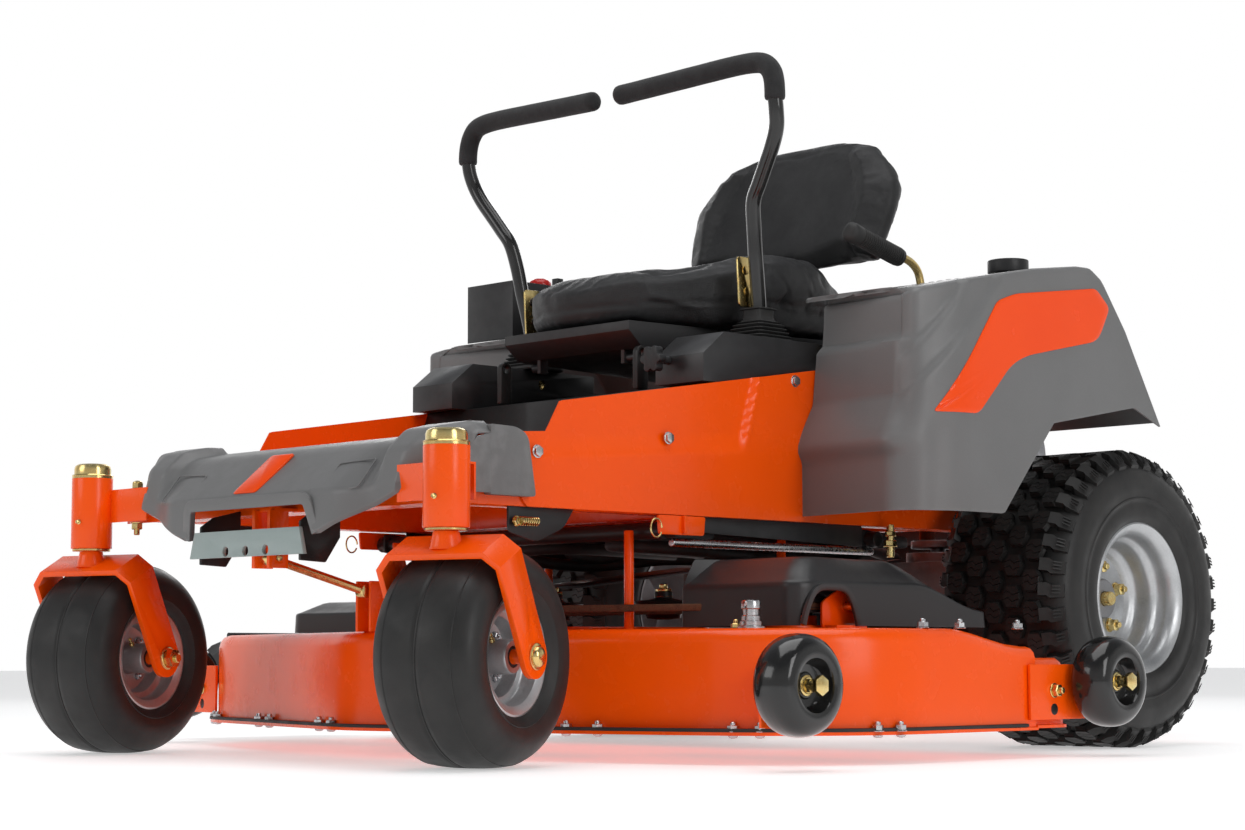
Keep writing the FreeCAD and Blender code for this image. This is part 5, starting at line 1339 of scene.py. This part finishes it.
def front_cover():
    """The moulded front cover with its ears, the flared rim round the step opening and the blank badge."""
    cover = Piece("front_cover_moulded")
    stops = sorted({*range(-345, 346, 6), *(s * v for s in (1, -1) for v in (131, 134, 137, 140, 143, 234, 237,
            243, 246, 249, 325, 335, 341, 345))})
    cover.skin([cover_section(x) for x in stops], "grey_plastic", ring=False)
    for sign in (1, -1):
        wall = [(345 * sign, y, z) for y, z in ((-1164, 391), (-1158, 400), (-1136, 424), (-1112, 430),
                                                (-1112, 352), (-1164, 352))]
        cover.slab(wall, -X * sign, 3, "grey_plastic")
        shoulder = [(345 * sign, y, z) for y, z in ((-1112, 442), (-1068, 441), (-1046, 432), (-1032, 350),
                                                    (-1112, 350))]
        cover.slab(rounded(shoulder, [3, 8, 12, 6, 3], 4), -X * sign, 13.5, "grey_plastic")
    cover.done("chassis", "grey_plastic", ("front_cover",), bevel=1.6, thickness=2.6, offset=-1.0)
    rim = Piece("front_cover_rim")
    path = rounded([(-146, -1238, 304), (-133, -1246, 350), (133, -1246, 350), (146, -1238, 304)], 12, 6,
                   closed=False)
    rim.bar(path, rounded([(-9, -6), (9, -6), (6, 6), (-6, 6)], 3, 3), "grey_plastic", up=Y)
    for sign in (1, -1):
        line = [Vector((x * sign, y, z)) for x, y, z in ((150, -1240, 354), (150, -1206, 396),
                                                         (222, -1202, 399), (222, -1234, 360))]
        rim.tube(rounded(line, 5, 4, closed=True) + rounded(line, 5, 4, closed=True)[:1], 1.1, "grey_plastic",
                 8)
    rim.done("chassis", "grey_plastic")
    badge = Piece("front_badge_blank")
    lean = math.radians(45)
    across, up = X, Vector((0, math.sin(lean), math.cos(lean)))
    out = Vector((0, -math.cos(lean), math.sin(lean)))
    centre = Vector((-6, -1213, 389)) + out * 1.4
    outline = rounded([centre + across * a + up * b for a, b in ((-36, -38), (16, -38), (30, 40), (-20, 40))],
                      5, 4)
    badge.skin([[p - out * 2.5 for p in outline], outline,
                [centre.lerp(p, 0.93) + out * 1.2 for p in outline]], "orange_plastic",
               ends=True)
    badge.done("chassis", "orange_plastic")


def caster_fittings(side):
    """Axle bolts with their washers, the grease nipple and a bolt beside the pivot tube."""
    sign = SIDES[side]
    centre = caster_hub(sign)
    bits = Piece(f"caster_axle_bolt_{side}")
    reach = 83 + 8
    for end in (-1, 1):
        out = CASTER_AXIS * end
        spot = centre + out * (reach + 0.4)
        bits.lathe([(17, 0), (17, 1.6), (16, 2.2)], spot, out, "yellow_zinc", 28)
        if end * sign > 0:
            bits.lathe([(13.5, 2), (13.5, 4), (12, 7), (8, 9.6), (3, 10.6)], spot, out, "yellow_zinc", 28)
        else:
            bits.nut(spot + out * 1.8, out, 24, 13, "yellow_zinc", stud=6)
    bits.done(f"caster_{side}", "yellow_zinc")
    tube = Piece(f"caster_pivot_nipple_{side}")
    out = Vector((0.35, -0.94, 0)).normalized()
    spot = Vector((sign * PIVOT_TRACK, PIVOT_Y, 338)) + out * 29.4
    tube.lathe([(3.6, 0), (3.6, 2.5), (2.2, 3.2), (2.2, 5.4), (2.8, 6.4), (1.6, 8)], spot, out, "yellow_zinc",
               14)
    tube.nut((sign * 336, -1197, 386), Z, 15, 9, "yellow_zinc", domed=True)
    tube.nut((sign * 336, -1197, 338), -Z, 15, 10, "yellow_zinc", stud=9)
    tube.done("chassis", "yellow_zinc")


# ---------------------------------------------------------------- deck
LOBE, LOBE_TRACK, WALL_X = 245, 455, 700
DECK_LIP, DECK_TOP, DECK_REAR = 38, 176, -415


def deck_line(step=7):
    """The deck's wall seen from above, from its right rear corner round the three lobes to its left rear corner."""
    arcs = [((-LOBE_TRACK, -660), 180, 252.9), ((0, -800), 252.9, 287.1), ((LOBE_TRACK, -660), 287.1, 360)]
    line = [Vector((-WALL_X, y, 0)) for y in range(DECK_REAR, -660, -12)]
    for (cx, cy), first, last in arcs:
        count = round((last - first) / 180 * math.pi * LOBE / step)
        line += [Vector((cx + LOBE * math.cos(a), cy + LOBE * math.sin(a), 0))
                 for a in (math.radians(first + (last - first) * k / count) for k in range(count + 1))]
        if last < 360:
            nxt = arcs[arcs.index(((cx, cy), first, last)) + 1][0]
            start, stop = line[-1], Vector((nxt[0] + LOBE * math.cos(math.radians(last)),
                                            nxt[1] + LOBE * math.sin(math.radians(last)), 0))
            line += [start.lerp(stop, k / 50) for k in range(1, 50)]
    line += [Vector((WALL_X, y, 0)) for y in range(-648, DECK_REAR + 1, 12)]
    result = []
    for i, p in enumerate(line):
        ahead = (line[min(i + 1, len(line) - 1)] - line[max(i - 1, 0)]).normalized()
        result.append((p, Vector((ahead.y, -ahead.x, 0))))
    return result


def deck():
    """The stamped deck shell, its tail, the lip's trim, nuts and the wash-out port."""
    line = deck_line()
    rear = [(Vector((WALL_X - 1400 * k / 60, DECK_REAR, 0)), Y) for k in range(1, 60)]
    loop = line + rear
    levels = [(0, DECK_LIP), (0, DECK_LIP + 4.5), (-0.001, DECK_LIP + 6), (-0.001, 156), (-2.5, 166),
              (-8, 173), (-17, 176.3)]
    shell = Piece("deck_shell_stamped")
    rows = []
    for inset, z in levels:
        row = []
        for p, out in loop:
            lip = (4 + 10 * abs(out.y)) if inset == 0 and out != Y else 0
            drop = 0.17 * ease(-600, -430, p.y) * ease(520, 640, abs(p.x))
            row.append(p + out * (inset + lip) + Vector((0, 0, z - (z - DECK_LIP) * drop)))
        rows.append(row)
    shell.skin(rows, "orange_paint")
    shell.mesh.verts.ensure_lookup_table()
    last = [v for v in shell.mesh.verts][-len(loop):]
    shell.mesh.faces.new(last)
    mouth = [f for f in shell.mesh.faces if abs(f.calc_center_median().x + WALL_X) < 6
             and -735 < f.calc_center_median().y < -423 and 60 < f.calc_center_median().z < 154]
    bmesh.ops.delete(shell.mesh, geom=mouth, context="FACES")
    shell.done("deck", "orange_paint", ("deck_shell",), weld=0.01, thickness=2.8, offset=-1.0)
    tail = Piece("deck_tail_stamped")
    plan = [Vector((x, y, 0)) for x, y in ((204, -406), (688, -406), (688, -329), (650, -327), (240, -327),
                                           (204, -345))]
    plan = rounded(plan, [0, 0, 20, 8, 20, 14], 4)
    middle = sum(plan, Vector()) / len(plan)
    rows = []
    for grow, z in ((6, 40), (6, 44), (0, 45), (0, 122), (-3, 131), (-12, 137)):
        rows.append([p + (p - middle).normalized() * grow + Vector((0, 0, z)) for p in plan])
    tail.skin(rows, "orange_paint", ends=False)
    tail.mesh.faces.new([v for v in tail.mesh.verts][-len(plan):])
    tail.done("deck", "orange_paint", thickness=2.4, offset=-1.0)
    strip = Piece("deck_lip_strip")
    front = [(p, out) for p, out in line if p.y < -440]
    path = [p + out * (4 + 10 * abs(out.y) - 2.5) + Vector((0, 0, DECK_LIP + 6.6)) for p, out in front]
    strip.bar(path, [(-4, -2), (4, -2), (4, 1.6), (2.6, 2.6), (-4, 2.6)], "rubber")
    strip.done("deck", "rubber")
    places = []
    for index in range(10, len(front) - 8, 1):
        p, out = front[index]
        if index % 27 in (0, 5) and (p.x > -650 or p.y < -760):
            places.append((p + out * 6.5 + Vector((0, 0, DECK_LIP + 4.6)), Z, index * 0.7))
    for y in (-430, -560, -640):
        places.append((Vector((WALL_X - 22, y, DECK_TOP + 0.5)), Z, y * 0.1))
    copies("deck_lip_nuts", carriage_nut, places, "bright_steel", "deck", "bright_steel")
    heads = [(p - Z * 4.8, -Z, turn) for p, _, turn in places if p.z < 60]
    copies("deck_lip_bolt_heads", small_screw, heads, "bright_steel", "deck", "bright_steel")
    port = Piece("deck_wash_port")
    port.lathe([(19, 0), (19, 3), (15, 4.5), (15, 10), (12.6, 11), (12.6, 17), (11, 18.4), (11, 26),
                (13.2, 27.4), (13.2, 36), (12, 38),
                (7, 38), (7, 30)], (520, -805, DECK_TOP), Z, "bright_steel", 36)
    port.nut((488, -800, DECK_TOP), Z, 12, 7, "yellow_zinc", stud=6)
    port.done("deck", "bright_steel")


def gauge_arms():
    """The gauge wheels' brackets: a cranked plate from the deck's wall to the wheel's axle."""
    routes = {"front_left": [(705, -994), (705, -944), (592, -868)],
              "front_right": [(-705, -858), (-705, -838), (-594, -866)],
              "rear_left": [(704, -276), (704, -330), (704, -440)],
              "rear_right": [(-704, -291), (-704, -345), (-704, -440)]}
    for name, plan in routes.items():
        sign = 1 if plan[0][0] > 0 else -1
        y = {"front_left": -964, "rear_left": -303, "front_right": -828, "rear_right": -318}[name]
        arm = Piece(f"gauge_arm_{name}")
        line = rounded([(px, py, 92) for px, py in plan], 10, 5, closed=False)
        arm.bar(line, [(-2, -40), (2, -40), (2, 36), (-2, 36)], "orange_paint")
        arm.rod((698 * sign, y, 104), (742 * sign, y, 104), 7.5, "yellow_zinc")
        mid = (Vector((*plan[1], 92)) + Vector((*plan[2], 92))) / 2
        face = Vector((plan[2][1] - plan[1][1], plan[1][0] - plan[2][0], 0)).normalized()
        face = -face if face.y > 0 or (face.y == 0 and face.x * sign < 0) else face
        arm.nut(mid + face * 2.2, face, 16, 9, "yellow_zinc", stud=7)
        # painted shade: a thin black disc on the plate stands in for the dark round hole through it
        arm.lathe([(8, 0), (8, 0.5), (0.5, 0.5)], mid + face * 1.9 - Z * 26, face, "black_paint", 20)
        arm.done("deck", "orange_paint", bevel=1.2)


def belt_cover(side):
    """A moulded belt cover: sloping faces, an arch over the hanger and a low tail."""
    sign = SIDES[side]
    back = -362 if side == "left" else -567
    crest = 275 if side == "left" else 231
    cover = Piece(f"belt_cover_{side}_moulded")
    plan = [Vector((x * sign, y, 0)) for x, y in ((340, -752), (542, -752), (559, -728), (559, back + 30),
                                                  (530, back), (340, back))]
    plan = rounded(plan, [6, 16, 20, 34, 34, 6], 4)
    dense = []
    for a, b in zip(plan, plan[1:] + plan[:1]):
        steps = max(1, round((b - a).length / 5))
        dense += [a.lerp(b, k / steps) for k in range(steps)]
    middle = Vector((430 * sign, -560, 0))
    rows = []
    for t, inset in (*((k / 22, 0.1 * k) for k in range(13)), (0.6, 2), (0.63, 4), (0.66, 9), (0.8, 26),
                     (0.96, 46), (1.0, 56)):
        row = []
        for p in dense:
            fall = 0.72 * ease(-500, back + 20, p.y) if side == "left" else 0.4 * ease(-640, back, p.y)
            top = crest - (crest - 196) * fall
            pull = (middle - p).normalized() * inset * (0.35 if abs(p.x) < 345 else 1.0)
            row.append(p + pull + Vector((0, 0, 181 + (top - 181) * t)))
        rows.append(row)
    cover.skin(rows, "dark_plastic")
    cover.mesh.faces.new([v for v in cover.mesh.verts][-len(dense):])
    if side == "left":
        def in_arch(c):
            across = abs(c.y + 686) / 56
            return c.x > 545 and c.z < 181 + 50 * (1 - across ** 4) and across < 1
        arch = [f for f in cover.mesh.faces if in_arch(f.calc_center_median())]
        bmesh.ops.delete(cover.mesh, geom=arch, context="FACES")
        spans = [-1 + k / 18 for k in range(37)]
        lip = [Vector((558.6 - 5 * max(0, -t - 0.8), -686 + 57 * t, 182 + 51 * (1 - t ** 4))) for t in spans]
        cover.bar(lip, [(-4.5, -2), (4.5, -2), (4.5, 2), (3, 3), (-4.5, 3)], "dark_plastic", up=X)
    cover.done("deck", "dark_plastic", ("belt_covers",), weld=0.01, thickness=2.6, offset=-1.0)


def hangers():
    """The lift hangers with their pins, seen in the cover's arch and under the body."""
    for side, sign in SIDES.items():
        plate = Piece(f"lift_hanger_{side}")
        outline = [(530 * sign, -676, 178), (530 * sign, -604, 178), (530 * sign, -604, 222),
                   (530 * sign, -640, 232), (530 * sign, -676, 214)]
        plate.slab(rounded(outline, 7, 3), X * sign, 4, "orange_paint")
        plate.slab([(530 * sign, -672, 178), (530 * sign, -608, 178), (556 * sign, -608, 178),
                    (556 * sign, -672, 178)], Z, 4, "orange_paint")
        plate.rod((520 * sign, -628, 208), (552 * sign, -628, 208), 6, "yellow_zinc")
        ring = [(548 * sign + 3 * math.sin(a * 2), -616 + 13 * math.cos(a), 206 + 13 * math.sin(a))
                for a in (2 * math.pi * k / 28 for k in range(27))]
        plate.tube(ring, 1.3, "yellow_zinc", 8)
        plate.done("deck", "orange_paint", bevel=0.7)
        front = Piece(f"frame_hanger_{side}")
        outline = [(331 * sign, -787, 337), (331 * sign, -691, 337), (331 * sign, -694, 310),
                   (331 * sign, -784, 310)]
        front.slab(rounded(outline, 4, 3), -X * sign, 4, "orange_paint")
        front.slab([(331 * sign, -740, 337), (331 * sign, -736, 337), (331 * sign, -736, 312),
                    (331 * sign, -740, 312)], X * sign, 6, "orange_paint")
        ring = [(336 * sign, -796 + 11 * math.cos(a),
                 318 + 13 * math.sin(a)) for a in (2 * math.pi * k / 28 for k in range(27))]
        front.tube(ring, 1.4, "yellow_zinc", 8)
        front.done("chassis", "orange_paint", bevel=0.7)
        rod = Piece(f"height_rod_{side}")
        rod.rod((346 * sign, -296, 290), (346 * sign, -296, 340), 6, "yellow_zinc")
        rod.nut((346 * sign, -296, 306), Z, 17, 9, "yellow_zinc")
        rod.nut((346 * sign, -296, 322), Z, 14, 7, "yellow_zinc")
        rod.done("chassis", "yellow_zinc")


def pivot_caps():
    """The plated dust caps on the caster pivots."""
    caps = Piece("pivot_caps_turned")
    for sign in (1, -1):
        centre = (PIVOT_TRACK * sign, PIVOT_Y, 0)
        cap_top, cap_foot = 425, 407
        caps.lathe([(29.6, cap_foot - 4), (29.6, cap_foot), (26.8, cap_foot + 0.6), (26.8, cap_foot + 10),
                    (25.2, cap_top - 3.4), (21, cap_top - 0.8),
                    (12, cap_top)], centre, Z, "yellow_zinc", 48)
        caps.lathe([(26.8, 296), (27.6, 296.6), (27.6, 299), (26.8, 299.8)], centre, Z, "yellow_zinc", 48)
        caps.lathe([(29.6, cap_foot - 0.4), (30.2, cap_foot), (29.0, cap_foot + 1.6), (26, cap_foot + 1.8)],
                   centre, Z, "yellow_zinc", 48)
    caps.done("chassis", "yellow_zinc", ("pivot_caps",))


def lift_lever():
    """The bent height lever with its ribbed grip."""
    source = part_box("lift_lever")
    grip_tip = Vector((400, -453, 769))
    rod = Piece("lift_lever_bent")
    route = [(400, -240, 450), (400, -254, 560), (400, -272, 660), (400, -281, 705), (400, -287, 726),
             (400, -304, 738), (400, -345, 748)]
    low, high = here(source[0]), here(source[1])
    rod.tube(rounded(route, [0, 20, 20, 14, 20, 14, 0], 4, closed=False), 6.2, "yellow_zinc", 18)
    rod.rod((low.x + 1, -240, 450), (high.x - 1, -240, 450), 11, "yellow_zinc")
    direction = (grip_tip - Vector((400, -330, 741))).normalized()
    start = Vector((400, -330, 741))
    length = (grip_tip - start).length
    profile = [(10, 0), (13.5, 2)]
    ribs = 20
    for k in range(ribs):
        t = 8 + (length - 34) * k / ribs
        profile += [(14.4, t), (14.6, t + 1.4), (12.6, t + 2.2), (12.6, t + 3.2)]
    profile += [(14.8, length - 24), (15.4, length - 10), (14.6, length - 5), (11, length - 1.4), (5, length)]
    rod.lathe(profile, start, direction, "rubber", 32)
    rod.done("lift", "yellow_zinc", ("lift_lever",))


def engine_dress():
    """Cooling fins and the shroud's slots."""
    fins = Piece("cylinder_fins")
    for turn in (42, 138):
        direction = Vector((math.cos(math.radians(turn)), math.sin(math.radians(turn)), 0))
        for k in range(9):
            spot = Vector((0, 235, 456)) + direction * (128 + k * 8)
            fins.lathe([(60, 0), (64, 0.5), (64, 2.4), (60, 2.9)], spot, direction, "cast_alloy", 28)
    fins.done("chassis", "cast_alloy")
    slots = Piece("shroud_screen_ribs")
    for k in range(14):
        slots.lathe([(40 + k * 8.4, 0), (42.6 + k * 8.4, 0), (42.6 + k * 8.4, 3), (40 + k * 8.4, 3)],
                    (0, 235, 630.2), Z,
                    "black_plastic", 64, closed=True)
    for k in range(12):
        a = k * math.pi / 6
        out = Vector((math.cos(a), math.sin(a), 0))
        across = out.cross(Z)
        corners = [Vector((0, 235, 630.4)) + out * r + across * w for r,
                   w in ((30, -2.5), (160, -2.5), (160, 2.5), (30, 2.5))]
        slots.slab(corners, Z, 4, "black_plastic")
    slots.lathe([(30, 0), (36, 0.5), (38, 6), (30, 8), (10, 9)], (0, 235, 630), Z, "black_plastic", 40)
    slots.done("chassis", "black_plastic")


def lift_slot_marks():
    """Tick marks beside the lift slot, and a flat black sheet laid over the slot as painted shade for its opening."""
    marks = Piece("lift_slot_marks")
    for k in range(10):
        y = -330 + k * 21
        p = Vector((421, y, between(FENDER_TOP, y) + 0.5))
        marks.slab([p, p + Vector((8, 0, 0)), p + Vector((8, 2, 0.12)), p + Vector((0, 2, 0.12))], Z, 0.5,
                   "silver_paint")
    # painted shade: a thin black sheet on the fender top stands in for the dark opening of the slot
    slot_line = [Vector((x, y, between(FENDER_TOP, y) + 0.4)) for x,
                 y in ((389, -342), (411, -342), (411, -130), (389, -130))]
    marks.slab(rounded(slot_line, 8, 4), Z, 0.7, "black_plastic")
    marks.done("chassis", "black_plastic")


def switch_knob():
    """The red mushroom knob of the blade switch."""
    low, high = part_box("pto_knob")
    centre = here((low + high) / 2)
    foot, top = here(low).z, here(high).z
    knob = Piece("switch_knob_red")
    knob.lathe([(8, 0), (8, 8), (9, 10), (15, 12), (19.4, 16), (20, 20), (19.4, 24), (17, 27),
                (12, top - foot - 1.6), (4, top - foot)],
               (centre.x, centre.y, foot), Z, "red_plastic", 48)
    knob.done("pto_switch", "red_plastic", ("pto_knob",))


def under_body():
    """Lift shafts, hoses, pulleys and guards between the frame and the deck."""
    steel = Piece("lift_shafts")
    for y, z in ((-742, 318), (-300, 318)):
        steel.rod((-326, y, z), (326, y, z), 12, "black_paint", 24)
        for sign in (1, -1):
            steel.slab(rounded([(300 * sign, y - 16, z - 14), (300 * sign, y + 96, z - 10),
                                (300 * sign, y + 96, z + 8), (300 * sign, y - 16, z + 16)], 7, 3),
                       X * sign, 6, "black_paint")
    steel.rod((312, -742, 300), (312, -300, 300), 6, "bright_steel", 16)
    steel.rod((-312, -742, 300), (-312, -300, 300), 6, "bright_steel", 16)
    steel.rod((-250, -640, 326), (250, -640, 326), 5, "bright_steel", 16)
    steel.done("chassis", "black_paint", bevel=0.8)
    hoses = Piece("drive_hoses")
    for sign in (1, -1):
        for k, (top, reach) in enumerate(((322, -560), (304, -600), (316, -500))):
            line = [(sign * (120 + 26 * k), -70, 300), (sign * (150 + 26 * k), -230, top),
                    (sign * (230 - 16 * k), -400, top - 14),
                    (sign * (210 - 30 * k), reach, top - 4), (sign * (80 - 20 * k), reach - 12, top + 4),
                    (sign * 30, -380, top)]
            hoses.tube(smooth_path(line, 10), 9.5, "rubber", 14)
    hoses.done("chassis", "rubber")
    guards = Piece("belt_guards")
    for sign in (1, -1):
        panel = [(sign * 322, -1060, 340), (sign * 322, -1060, 304), (sign * 322, -1010, 292),
                 (sign * 322, -960, 312), (sign * 322, -940, 340)]
        guards.slab(rounded(panel, [2, 8, 10, 10, 2], 3), -X * sign, 4, "black_plastic")
        guards.slab([(sign * 318, -700, 338), (sign * 318, -700, 316), (sign * 318, -330, 306),
                     (sign * 318, -330, 338)], -X * sign, 3, "black_plastic")
        guards.slab([(sign * 120, -500, 250), (sign * 250, -500, 250), (sign * 250, -150, 290),
                     (sign * 120, -150, 290)], Z, 4, "black_plastic")
    guards.done("chassis", "black_plastic", bevel=0.8)
    wheels = Piece("deck_pulleys")
    for x, y, r in ((0, -800, 66), (455, -660, 66), (-455, -660, 66), (120, -560, 46), (-120, -560, 46)):
        wheels.lathe([(10, 0), (r * 0.55, 2), (r * 0.6, 9), (r * 0.93, 11), (r, 12), (r * 0.88, 19), (r, 27),
                      (r * 0.93, 28), (r * 0.5, 30), (14, 32), (14, 42),
                      (8, 44)], (x, y, 194 if r > 50 else 196), Z, "black_paint", 48)
        wheels.nut((x, y, 230), Z, 22, 12, "yellow_zinc", stud=8)
    wheels.slab(rounded([(-70, -700, 180), (70, -700, 180), (150, -500, 180), (120, -455, 180),
                         (-120, -455, 180), (-150, -500, 180)], 24, 4), Z, 5, "orange_paint")
    wheels.done("deck", "black_paint", bevel=0.6)
    spring = Piece("side_plate_spring")
    for sign in (1, -1):
        turns = [Vector((sign * (334 + 5 * math.cos(k * 0.55)), -1052 + k * 0.34,
                         318 + 5 * math.sin(k * 0.55))) for k in range(96)]
        spring.tube(turns, 1.4, "yellow_zinc", 8)
        spring.nut((sign * 328, -1052, 318), X * sign, 11, 6, "yellow_zinc")
    spring.done("chassis", "yellow_zinc")


# ---------------------------------------------------------------- making it all
set_stage()
set_camera()
mix_finishes()
TREES.update({"copies": copies_tree(), "ring": ring_tree()})
SLOTS = {}
for row in frame["record"]["subparts"]:
    SLOTS[row["node"]] = row["material_slot"]
for side in SIDES:
    caster_tyre(side)
    caster_rim(side)
    drive_tyre(side)
    drive_rim(side)
for name in ("front_left", "rear_left", "front_right", "rear_right"):
    gauge_wheel(name)
for side in SIDES:
    fender(side)
    steering_lever(side)
    lever_boot(side)
    caster_fittings(side)
trim_inserts()
side_panels()
floor_pan()
seat()
front_cover()
deck()
gauge_arms()
for side in SIDES:
    belt_cover(side)
hangers()
pivot_caps()
lift_lever()
engine_dress()
lift_slot_marks()
switch_knob()
under_body()

SHOWN = {"deck_brackets": lambda low, high: max(abs(low.x), abs(high.x)) < 690}
OTHER_FINISH = {"step_plate": "step_grey", "consoles": "dark_plastic"}
EDGE_WIDTHS = {"caster_fork_left": 5, "caster_fork_right": 5, "consoles": 5, "step_plate": 1.5,
               "front_axle_beam": 2.5, "main_frame": 2.5, "chute_deflector": 2.0, "engine_shroud": 4}
for node, thing in frame["nodes"].items():
    if not thing.get("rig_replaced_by") and not thing.hide_render:
        refine(node, SLOTS[node], EDGE_WIDTHS.get(node, 1.2), finish=OTHER_FINISH.get(node),
               keep=SHOWN.get(node))
